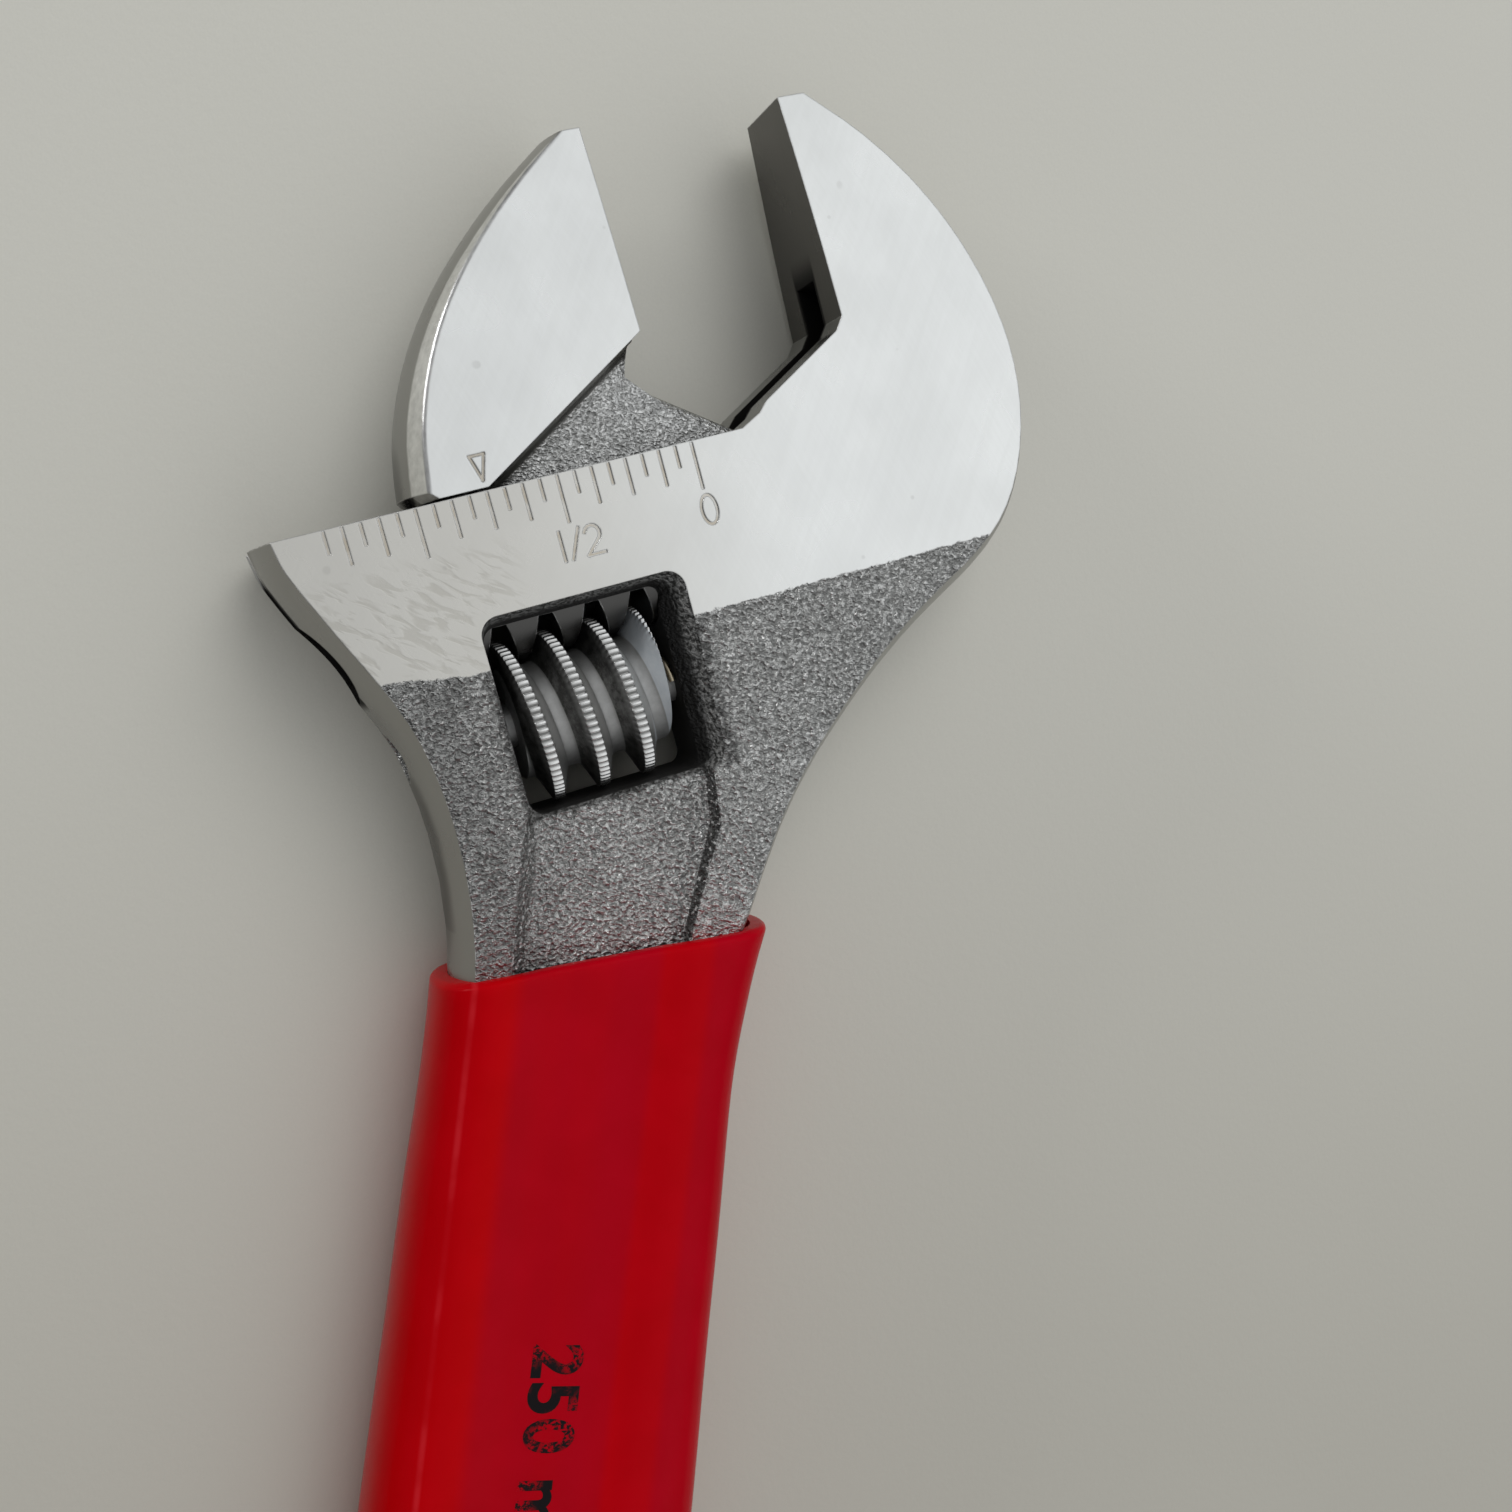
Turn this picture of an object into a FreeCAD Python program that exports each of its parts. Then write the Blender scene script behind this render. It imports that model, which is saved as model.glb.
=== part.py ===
"""Adjustable wrench, 10 inch, with a dipped grip.

Frame: X is the direction the movable jaw slides, pointing at the fixed jaw. Y points from the
handle to the jaw tips and Z out of the broad face. The origin is the centre of the fixed jaw's
flat. Millimetres. The handle leans 22.5 degrees from Y, as on every adjustable wrench.
"""
import FreeCAD, Part
import math
import os

from FreeCAD import Vector

# ---- whole wrench -----------------------------------------------------------------------
TOTAL_LENGTH = 254.0          # nominal 10 inch, measured along the handle
HANDLE_ANGLE = 22.5           # degrees between the handle and the jaw flats
REST_OPENING = 19.05          # jaws modelled 3/4 inch apart
SLIDE_LEVEL = -18.0           # frame Y of the slide edge, below the centre of the jaw flat

# ---- head -------------------------------------------------------------------------------
HEAD_HALF = 7.0               # half thickness of the ground faces at the worm
NECK_HALF = 6.0               # half thickness where the neck enters the grip
TIP_HALF = 4.5                # half thickness at the jaw tips
BULGE = 2.0                   # how far the forged side walls stand out at the parting line
STOCK = 0.6                   # extra half thickness of a blank before its faces are ground
JAW_TIP = 28.5                # jaw tip above the slide edge
FLAT_FOOT = 7.8               # foot of the fixed jaw's flat above the slide edge
HEAD_LEFT = -57.0             # left end of the slide edge

# ---- movable jaw ------------------------------------------------------------------------
JAW_FLOAT = 0.25              # gap between the jaw's foot and the slide edge
JAW_TOP = JAW_TIP + 0.5
EDGE_ROUND = 0.45             # softened edge between the jaw's ground face and its back
UNDERCUT_ROUND = 2.0          # hollow corner between the jaw and its web
WEB_ROUND = 1.1               # softened front edge of the web
RACK_LEFT = -31.2             # rack ends, from the movable jaw's flat
RACK_RIGHT = 5.4

# ---- slide: round rack bore and the slot above it ---------------------------------------
RACK_AXIS = -10.9             # rack axis from the slide edge
RACK_RADIUS = 4.2
RACK_CLEARANCE = 0.1
SLOT_HALF = 2.2
WEB_HALF = 1.95
BORE_END = 6.8                # flat end of the blind rack bore, inside the fixed jaw's root

# ---- worm -------------------------------------------------------------------------------
PITCH = 4.35                  # one turn moves the jaw this far
WORM_AXIS = -20.6             # worm axis from the slide edge
WORM_RADIUS = 7.8
WORM_ROOT = 5.1
WORM_LEFT = -38.7
WORM_RIGHT = -25.1
WORM_PHASE = -32.97           # one crest, where it faces +Z
CREST_WIDTH = 0.95
FLANK_WIDTH = 1.15            # axial width of one sloped flank
MESH_CLEARANCE = 0.18         # axial, each side of a worm thread in the rack
GROOVE_RELIEF = 0.2           # how far the rack's grooves pass the window's top edge
WINDOW = (-39.6, -23.2, -28.6, -11.8)      # left, right, bottom, top at mid thickness
WINDOW_MOUTH = (-40.2, -20.9, -28.95, -10.5)  # the same at the ground face

# ---- worm pin and spring ----------------------------------------------------------------
PIN_RADIUS = 2.0
PIN_HEAD_RADIUS = 2.5
PIN_LEFT = -48.6
PIN_RIGHT = -17.8
PIN_CLEARANCE = 0.05
DRIVER_SLOT_WIDTH = 0.9
DRIVER_SLOT_DEPTH = 0.8
WORM_BORE = 2.08
SPRING_POCKET_RADIUS = 3.4
SPRING_POCKET_DEPTH = 4.6
SPRING_RADIUS = 2.75
SPRING_WIRE = 0.3
SPRING_TURNS = 4.5
SPRING_GAP = 0.05             # between the spring's ends and what they press on

# ---- handle and grip --------------------------------------------------------------------
AXIS_X = -35.8                # a point on the handle axis, from the slide edge
AXIS_Y = -39.8
SHANK_WAIST = 12.9            # half width of the steel just inside the grip
SHANK_END = 14.4              # half width of the steel near its round end
GRIP_WALL = 1.5
GRIP_END_WALL = 2.0
GRIP_HALF = 7.6               # half thickness of the grip
GRIP_CHANNEL = 0.7            # depth of the shallow finger channel on each face
LIP_LEVEL = 3.1               # where the grip's mouth crosses the handle axis
LIP_TILT = 14.8               # degrees between the mouth and a square cut
RECESS_HALF = 7.2             # half width of the sunk panel between the handle's rails
RECESS_DEPTH = 0.9
HANG_HOLE = 4.5               # radius through the grip
HANG_HOLE_STEEL = 6.0
HANG_HOLE_INSET = 15.0        # hole centre from the grip's end
RECESS_SLOPES = (1.25, 0.65)  # run of the panel's left and right sides for each mm of height
PANEL_END_INSET = 32.0        # end of the sunk panel from the steel's end
CHANNEL_HALF = 5.0            # half width of the finger channel's floor
CHANNEL_SLOPE = 6.0           # how far its sides reach out at the grip's face
CHANNEL_END_INSET = 34.0      # end of the channel from the grip's end

# ---- engraved scale ---------------------------------------------------------------------
SIXTEENTH = 25.4 / 16
TICKS = 22
TICK_LENGTHS = (4.3, 3.3, 2.0)    # halves, eighths and sixteenths
POINTER_X = -17.25            # pointer on the movable jaw, from its flat
LINE_WIDTH = 0.26
LINE_DEPTH = 0.15

AXIS_DROP = math.radians(HANDLE_ANGLE)
ALONG = Vector(-math.sin(AXIS_DROP), -math.cos(AXIS_DROP), 0)    # down the handle
ACROSS = Vector(math.cos(AXIS_DROP), -math.sin(AXIS_DROP), 0)    # to its right side
X_DIR = Vector(1, 0, 0)
Y_DIR = Vector(0, 1, 0)
Z_DIR = Vector(0, 0, 1)


def at(x, above_slide, z=0.0):
    """A point given by its height above the slide edge."""
    return Vector(x, SLIDE_LEVEL + above_slide, z)


def on_handle(s, t, z=0.0):
    """A point s down the handle from its reference point and t to the right of its axis."""
    return at(AXIS_X, AXIS_Y, z) + ALONG * s + ACROSS * t


TIP_REACH = -(at(4.4, JAW_TIP) - at(AXIS_X, AXIS_Y)).dot(ALONG)
GRIP_END = TOTAL_LENGTH - TIP_REACH
STEEL_END = GRIP_END - GRIP_END_WALL


# ---- small helpers ----------------------------------------------------------------------
def face_of(points):
    return Part.Face(Part.makePolygon(points + [points[0]]))


def prism(points, low, high):
    """A straight-walled block over a polygon, from z low to z high."""
    flat = [Vector(p.x, p.y, low) for p in points]
    return face_of(flat).extrude(Z_DIR * (high - low))


def through(points, half):
    return prism(points, -half, half)


def cylinder_x(radius, x_from, x_to, above_slide):
    return Part.makeCylinder(radius, x_to - x_from, at(x_from, above_slide), X_DIR)


def fused(shapes):
    result = shapes[0]
    for shape in shapes[1:]:
        result = result.fuse(shape)
    return result


def spline(points, start=None, end=None):
    """A curve through the points, leaving and arriving along the given directions."""
    curve = Part.BSplineCurve()
    if start is None:
        curve.interpolate(Points=points)
    else:
        curve.interpolate(Points=points, InitialTangent=start, FinalTangent=end)
    return curve


def inset_chain(points, distance, start=None, end=None):
    """The same curve moved to its left by a distance, point by point along its normals."""
    curve = spline(points, start, end)
    moved = []
    for point in points:
        tangent = curve.tangent(curve.parameter(point))[0]
        normal = Vector(-tangent.y, tangent.x, 0)
        moved.append(point + normal * distance)
    return spline(moved, start, end)


def line(a, b):
    return Part.LineSegment(a, b)


def forged(section, half):
    """A forging whose side walls stand out at the parting line: section(inset, z) is a wire."""
    levels = [half * step / 2.0 for step in (-2, -1, 0, 1, 2)]
    wires = [section(BULGE * (z / HEAD_HALF) ** 2, z) for z in levels]
    return Part.makeLoft(wires, True, False)


def ground_faces():
    """What grinding and drafting the faces removes: all beyond the head's side profile."""
    side = -130.0
    width = 170.0
    blank_half = HEAD_HALF + 3.0

    def level(above_slide, half):
        return at(side, above_slide, half)

    tip = level(JAW_TIP, TIP_HALF)
    beyond_tip = level(60, 1.1)
    shoulder = level(0, HEAD_HALF)
    knee = level(-15.2, HEAD_HALF)
    waist = level(-45, NECK_HALF)
    low = level(-260, NECK_HALF)
    taper = spline([tip, level(19, 5.75), level(9, 6.7), shoulder], Vector(0, -1, 0.14),
                   Vector(0, -1, 0))
    corners = [shoulder, knee, waist, low, level(-260, blank_half), level(60, blank_half),
               beyond_tip, tip]
    edges = [taper] + [line(a, b) for a, b in zip(corners[:-1], corners[1:])]
    outline = Part.Wire([edge.toShape() for edge in edges])
    upper = Part.Face(outline).extrude(X_DIR * width)
    return [upper, upper.mirror(Vector(0, 0, 0), Z_DIR)]


# ---- forged body: fixed jaw, head, neck and shank in one piece --------------------------
RIGHT_SIDE = [at(2.1, 30.1), at(6.5, 26.0), at(11.4, 20.1), at(16.1, 10.8), at(18.0, 1.5),
              at(16.6, -8.2), at(12.2, -15.4), at(2.6, -21.2), at(-8.6, -28.8), at(-16.9, -36.9),
              at(-22.4, -44.5), on_handle(12, SHANK_WAIST)]
LEFT_SIDE = [on_handle(10, -SHANK_WAIST), at(-49.4, -37.0), at(-48.6, -28.5), at(-49.9, -18.6),
             at(-53.1, -11.0), at(-55.9, -4.6), at(HEAD_LEFT, 0)]


def body_section(inset, z):
    lean = math.atan2(SHANK_END - SHANK_WAIST, STEEL_END)
    right_run = ALONG * math.cos(lean) + ACROSS * math.sin(lean)
    left_run = ACROSS * math.sin(lean) - ALONG * math.cos(lean)
    right = inset_chain(RIGHT_SIDE, -inset, Vector(0.72, -0.69, 0), right_run)
    left = inset_chain(LEFT_SIDE, -inset, left_run, Vector(-0.12, 1, 0))
    end_radius = SHANK_END - inset
    centre = STEEL_END - SHANK_END
    right_low = on_handle(centre, end_radius)
    left_low = on_handle(centre, -end_radius)
    crown = at(HEAD_LEFT + inset, JAW_TIP + 1)
    edges = [right, line(right.EndPoint, right_low),
             Part.Arc(right_low, on_handle(centre + end_radius, 0), left_low),
             line(left_low, left.StartPoint), left,
             line(left.EndPoint, crown), line(crown, right.StartPoint)]
    wire = Part.Wire([edge.toShape() for edge in edges])
    wire.translate(Z_DIR * z)
    return wire


def above(level):
    """Everything beyond a jaw's flat tip."""
    return through([at(-80, level), at(40, level), at(40, level + 20), at(-80, level + 20)],
                   HEAD_HALF + 3)


def jaw_gap():
    """Everything above the slide edge and left of the fixed jaw's flat."""
    reach = 40.0
    corner = 0.9
    outline = [at(-80, 0), at(-12.2, 0), at(-10.2, 1.0), at(-9.3, 1.9),
               at(-corner, FLAT_FOOT - 1.2), at(0, FLAT_FOOT), at(0, reach), at(-80, reach)]
    return through(outline, HEAD_HALF + 3)


def jaw_slot():
    """The slot for the movable jaw's web, with the round end that its cutter leaves."""
    mouth = at(0, 12.1)
    heel = at(10.2, -2.0)
    sweep = Part.Arc(heel, at(7.4, 6.6), mouth)
    path = [line(at(-80, RACK_AXIS), at(BORE_END, RACK_AXIS)), line(at(BORE_END, RACK_AXIS), heel),
            sweep, line(mouth, at(-14, 4)), line(at(-14, 4), at(-80, 4)),
            line(at(-80, 4), at(-80, RACK_AXIS))]
    wire = Part.Wire([edge.toShape() for edge in path])
    wire.translate(Z_DIR * -SLOT_HALF)
    return Part.Face(wire).extrude(Z_DIR * 2 * SLOT_HALF)


def rounded_rectangle(bounds, radius, z):
    left, right, bottom, top = bounds
    r = radius
    k = radius * (1 - math.sqrt(0.5))
    corners = [(at(right - r, bottom, z), at(right - k, bottom + k, z), at(right, bottom + r, z)),
               (at(right, top - r, z), at(right - k, top - k, z), at(right - r, top, z)),
               (at(left + r, top, z), at(left + k, top - k, z), at(left, top - r, z)),
               (at(left, bottom + r, z), at(left + k, bottom + k, z), at(left + r, bottom, z))]
    edges = []
    for index, (start, middle, end) in enumerate(corners):
        edges.append(Part.Arc(start, middle, end).toShape())
        edges.append(line(end, corners[(index + 1) % 4][0]).toShape())
    return Part.Wire(edges)


def worm_window():
    """The window through the head, flared towards both faces as forging leaves it."""
    neck = 3.6
    face = HEAD_HALF + 0.4
    straight = Part.Face(rounded_rectangle(WINDOW, 1.2, -neck - 0.1))
    straight = straight.extrude(Z_DIR * 2 * (neck + 0.1))
    wires = [rounded_rectangle(WINDOW, 1.2, neck), rounded_rectangle(WINDOW_MOUTH, 1.8, face)]
    flare = Part.makeLoft(wires, True, True)
    return fused([straight, flare, flare.mirror(Vector(0, 0, 0), Z_DIR)])


def handle_panel():
    """The sunk panel between the rails of the handle, from the window to the hanging hole."""
    floor_level = NECK_HALF - RECESS_DEPTH
    face_level = HEAD_HALF + 0.5
    low_end = STEEL_END - PANEL_END_INSET

    def outline(z):
        rise = z - floor_level
        left = RECESS_HALF + rise * RECESS_SLOPES[0]
        right = RECESS_HALF + rise * RECESS_SLOPES[1]
        top_left = at(WINDOW[0] - rise * 0.3, -27.5, z)
        top_right = at(WINDOW[1] + rise * 0.3, -27.5, z)
        points = [top_left, on_handle(-6, -left, z), on_handle(4, -left, z),
                  on_handle(low_end, -left, z), on_handle(low_end, right, z),
                  on_handle(0, right, z), on_handle(-10, right + 1.2, z), top_right]
        return Part.makePolygon(points + [points[0]])

    lower = outline(floor_level)
    upper = outline(face_level)
    pocket = Part.makeLoft([lower, upper], True, True)
    return pocket.fuse(pocket.mirror(Vector(0, 0, 0), Z_DIR))


def pin_holes():
    threaded = cylinder_x(PIN_HEAD_RADIUS + PIN_CLEARANCE, -70, WINDOW[0] + 1, WORM_AXIS)
    blind = cylinder_x(PIN_RADIUS + PIN_CLEARANCE, WINDOW[1] - 1, PIN_RIGHT + 0.3, WORM_AXIS)
    return threaded.fuse(blind)


def hang_hole(radius):
    centre = on_handle(GRIP_END - HANG_HOLE_INSET, 0, -20)
    return Part.makeCylinder(radius, 40, centre, Z_DIR)


def polyline_stroke(points):
    bottom = HEAD_HALF - LINE_DEPTH
    cutters = []
    for a, b in zip(points[:-1], points[1:]):
        run = (b - a).normalize()
        side = Vector(-run.y, run.x, 0) * (LINE_WIDTH / 2)
        reach = run * (LINE_WIDTH / 2)
        corners = [a - reach - side, b + reach - side, b + reach + side, a - reach + side]
        cutters.append(prism(corners, bottom, HEAD_HALF + LINE_DEPTH))
    return fused(cutters)


def scale_marks():
    """Sixteenths of an inch with a nought and a half, read against the movable jaw's pointer."""
    marks = []
    for count in range(TICKS):
        x = POINTER_X - count * SIXTEENTH
        if count % 8 == 0:
            length = TICK_LENGTHS[0]
        elif count % 2 == 0:
            length = TICK_LENGTHS[1]
        else:
            length = TICK_LENGTHS[2]
        marks.append(polyline_stroke([at(x, -0.25), at(x, -length)]))
    z = HEAD_HALF - LINE_DEPTH
    nought_centre = at(POINTER_X + 0.1, -6.3, z)
    outer = Part.Ellipse(nought_centre, 1.45, 0.85)
    inner = Part.Ellipse(nought_centre, 1.45 - LINE_WIDTH, 0.85 - LINE_WIDTH)
    rings = []
    for ellipse in (outer, inner):
        edge = ellipse.toShape()
        edge.rotate(nought_centre, Z_DIR, 90)
        rings.append(Part.Face(Part.Wire([edge])).extrude(Z_DIR * 2 * LINE_DEPTH))
    marks.append(rings[0].cut(rings[1]))
    half_x = POINTER_X - 8 * SIXTEENTH
    marks.append(polyline_stroke([at(half_x - 1.2, -5.0), at(half_x - 1.2, -7.6)]))
    marks.append(polyline_stroke([at(half_x + 0.6, -5.0), at(half_x - 0.5, -7.6)]))
    arc_points = []
    for degrees in range(160, -41, -25):
        turn = math.radians(degrees)
        arc_points.append(at(half_x + 1.7 + 0.7 * math.cos(turn), -5.8 + 0.75 * math.sin(turn)))
    two = arc_points + [at(half_x + 0.95, -7.6), at(half_x + 2.5, -7.6)]
    marks.append(polyline_stroke(two))
    return fused(marks)


def make_body(faces):
    body = forged(body_section, HEAD_HALF + STOCK)
    for cutter in faces + [above(JAW_TIP), jaw_gap(), worm_window(), handle_panel()]:
        body = body.cut(cutter)
    bore = cylinder_x(RACK_RADIUS + RACK_CLEARANCE, -80, BORE_END, RACK_AXIS)
    for cutter in (jaw_slot(), bore, pin_holes(), hang_hole(HANG_HOLE_STEEL)):
        body = body.cut(cutter)
    return body


# ---- movable jaw: jaw, web and toothed rack in one piece --------------------------------
JAW_BACK = [at(-1.0, 30.6), at(-5.4, 27.6), at(-10.6, 23.65), at(-15.7, 18.8), at(-19.9, 13.2),
            at(-22.9, 6.6), at(-24.0, 1.2)]


def jaw_section(inset, z):
    back = inset_chain(JAW_BACK, inset, Vector(-0.8, -0.6, 0), Vector(-0.15, -1, 0))
    foot = at(JAW_BACK[-1].x + inset + 0.7, JAW_FLOAT)
    toe = at(8, JAW_FLOAT)
    head = Vector(8, back.StartPoint.y, 0)
    edges = [back, line(back.EndPoint, foot), line(foot, toe), line(toe, head),
             line(head, back.StartPoint)]
    wire = Part.Wire([edge.toShape() for edge in edges])
    wire.translate(Z_DIR * z)
    return wire


def rack_grooves():
    """Slots across the rack at the worm's lead angle, one for each passing thread."""
    top = WINDOW[3] + GROOVE_RELIEF
    bottom = RACK_AXIS - RACK_RADIUS - 0.6
    slope = FLANK_WIDTH / (WORM_RADIUS - WORM_ROOT)
    narrow = CREST_WIDTH / 2 + MESH_CLEARANCE
    wide = narrow + slope * (WORM_RADIUS - (bottom - WORM_AXIS))
    mesh_radius = (WORM_RADIUS + WORM_ROOT) / 2
    lead = PITCH / (2 * math.pi * mesh_radius)
    reach = 6.0
    first = WORM_PHASE - PITCH / 4 + REST_OPENING
    grooves = []
    for turn in range(-8, 9):
        x = first + turn * PITCH
        shift = Vector(-lead * reach, 0, -reach)
        corners = [at(x - narrow, top), at(x + narrow, top), at(x + wide, bottom),
                   at(x - wide, bottom)]
        flat = face_of([corner + shift for corner in corners])
        grooves.append(flat.extrude(Vector(2 * lead * reach, 0, 2 * reach)))
    return grooves


def back_edges(block):
    """The jaw's two long edges between its ground faces and its back."""
    found = []
    for edge in block.Edges:
        middle = edge.valueAt((edge.FirstParameter + edge.LastParameter) / 2)
        if middle.y > SLIDE_LEVEL + 5 and middle.x < -10 and abs(middle.z) > TIP_HALF:
            found.append(edge)
    return found


def undercut():
    """What lies under the jaw's slanted foot, with a hollow round corner against the web."""
    left = at(-17.32, 0)
    right = at(12, 17.6)
    run = (right - left).normalize()
    outward = Vector(run.y, -run.x, 0)
    wires = []
    for degrees in (0, 18, 36, 54, 72, 90):
        turn = math.radians(degrees)
        shift = outward * UNDERCUT_ROUND * (1 - math.sin(turn))
        shift = shift + Z_DIR * (WEB_HALF + UNDERCUT_ROUND * (1 - math.cos(turn)))
        points = [left + shift, right + shift, at(14, -8, shift.z), at(-17.32, -8, shift.z)]
        wires.append(Part.makePolygon(points + [points[0]]))
    rounded = Part.makeLoft(wires, True, True)
    straight = Part.Face(wires[-1]).extrude(Z_DIR * HEAD_HALF)
    upper = rounded.fuse(straight)
    return [upper, upper.mirror(Vector(0, 0, 0), Z_DIR)]


def front_edges(web):
    """The web's two long edges that face the gap between the jaws."""
    found = []
    for edge in web.Edges:
        middle = edge.valueAt((edge.FirstParameter + edge.LastParameter) / 2)
        if middle.x > 2 and middle.y > SLIDE_LEVEL + 1 and edge.Length > 5:
            found.append(edge)
    return found


def make_jaw(faces):
    block = forged(jaw_section, HEAD_HALF + STOCK)
    beyond_flat = through([at(0, -5), at(20, -5), at(20, 40), at(0, 40)], 12)
    notch = through([at(1, 10.6), at(-0.3, 10.6), at(-1.2, 7.3), at(0, 6.0), at(1, 6.0)], 3)
    for cutter in faces + [above(JAW_TOP), beyond_flat, notch]:
        block = block.cut(cutter)
    block = block.makeFillet(EDGE_ROUND, back_edges(block))
    for cutter in undercut():
        block = block.cut(cutter)
    pointer = [at(POINTER_X - 0.65, 3.1), at(POINTER_X + 0.65, 3.1), at(POINTER_X, 0.9),
               at(POINTER_X - 0.65, 3.1)]
    block = block.cut(polyline_stroke(pointer))
    web_outline = [at(-1.2, 7.3), at(0.0, 6.0), at(8.1, 0.4), at(8.2, -1.4),
                   at(RACK_RIGHT, RACK_AXIS), at(-28.0, RACK_AXIS), at(-26.5, -6.5),
                   at(-22.0, 0.0), at(-22.0, 2.0), at(-12.0, 6.0)]
    web = through(web_outline, WEB_HALF)
    web = web.makeFillet(WEB_ROUND, front_edges(web))
    rack = cylinder_x(RACK_RADIUS, RACK_LEFT, RACK_RIGHT, RACK_AXIS)
    for groove in rack_grooves():
        rack = rack.cut(groove)
    jaw = fused([block, web, rack])
    jaw.translate(X_DIR * -REST_OPENING)
    return jaw


# ---- worm, its pin and its spring -------------------------------------------------------
def worm_thread():
    """A right-handed thread whose crest faces +Z at WORM_PHASE."""
    buried = 0.4
    slope = FLANK_WIDTH / (WORM_RADIUS - WORM_ROOT)
    foot = CREST_WIDTH / 2 + FLANK_WIDTH + slope * buried
    start = WORM_PHASE - PITCH * 3
    helix = Part.makeHelix(PITCH, PITCH * 7, WORM_ROOT)
    outline = [Vector(WORM_ROOT - buried, 0, -foot), Vector(WORM_RADIUS, 0, -CREST_WIDTH / 2),
               Vector(WORM_RADIUS, 0, CREST_WIDTH / 2), Vector(WORM_ROOT - buried, 0, foot)]
    profile = Part.makePolygon(outline + [outline[0]])
    thread = Part.Wire(helix.Edges).makePipeShell([profile], True, True)
    thread.rotate(Vector(0, 0, 0), Y_DIR, 90)
    thread.rotate(Vector(0, 0, 0), X_DIR, 180)
    thread.translate(at(start, WORM_AXIS))
    return thread


def make_worm():
    core = cylinder_x(WORM_ROOT, WORM_LEFT, WORM_RIGHT, WORM_AXIS)
    limits = cylinder_x(WORM_RADIUS + 1, WORM_LEFT, WORM_RIGHT, WORM_AXIS)
    worm = core.fuse(worm_thread().common(limits))
    bore = cylinder_x(WORM_BORE, WORM_LEFT - 1, WORM_RIGHT + 1, WORM_AXIS)
    pocket = cylinder_x(SPRING_POCKET_RADIUS, WORM_RIGHT - SPRING_POCKET_DEPTH, WORM_RIGHT + 1,
                        WORM_AXIS)
    return worm.cut(bore).cut(pocket)


def make_pin():
    head = cylinder_x(PIN_HEAD_RADIUS, PIN_LEFT, WINDOW[0] - 0.4, WORM_AXIS)
    shank = cylinder_x(PIN_RADIUS, PIN_LEFT + 1, PIN_RIGHT, WORM_AXIS)
    slot = Part.makeBox(DRIVER_SLOT_DEPTH, 4 * PIN_HEAD_RADIUS, DRIVER_SLOT_WIDTH,
                        at(PIN_LEFT, WORM_AXIS - 2 * PIN_HEAD_RADIUS, -DRIVER_SLOT_WIDTH / 2))
    return head.fuse(shank).cut(slot)


def make_spring():
    start = WORM_RIGHT - SPRING_POCKET_DEPTH + SPRING_WIRE + SPRING_GAP
    length = WINDOW[1] - SPRING_WIRE - SPRING_GAP - start
    helix = Part.makeHelix(length / SPRING_TURNS, length, SPRING_RADIUS)
    ring = Part.Wire([Part.Circle(Vector(SPRING_RADIUS, 0, 0), Y_DIR, SPRING_WIRE).toShape()])
    spring = Part.Wire(helix.Edges).makePipeShell([ring], True, True)
    spring.rotate(Vector(0, 0, 0), Y_DIR, 90)
    spring.translate(at(start, WORM_AXIS))
    return spring


# ---- grip: one dipped sleeve ------------------------------------------------------------
GRIP_FULL = SHANK_END + GRIP_WALL
GRIP_WAIST = SHANK_WAIST + GRIP_WALL
GRIP_RIGHT = [on_handle(-8, 17.6), on_handle(0, 15.7), on_handle(12, GRIP_WAIST),
              on_handle(32, 14.9), on_handle(60, 15.5), on_handle(120, GRIP_FULL),
              on_handle(GRIP_END - GRIP_FULL, GRIP_FULL)]
GRIP_LEFT = [on_handle(GRIP_END - GRIP_FULL, -GRIP_FULL), on_handle(120, -GRIP_FULL),
             on_handle(60, -15.5), on_handle(32, -15.0), on_handle(12, -GRIP_WAIST),
             on_handle(-2, -15.0)]
SHOULDER = [(0.0, 0.0), (3.0, 0.25), (5.2, 1.0), (6.7, 2.4), (GRIP_HALF, 4.6)]   # height, inset


def grip_section(inset, z):
    right = inset_chain(GRIP_RIGHT, -inset, -ACROSS + ALONG * 4, ALONG)
    left = inset_chain(GRIP_LEFT, -inset, ALONG * -1, ALONG * -1 - ACROSS * 0.04)
    tail = on_handle(GRIP_END - inset, 0)
    edges = [right, Part.Arc(right.EndPoint, tail, left.StartPoint), left,
             line(left.EndPoint, right.StartPoint)]
    wire = Part.Wire([edge.toShape() for edge in edges])
    wire.translate(Z_DIR * z)
    return wire


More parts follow.
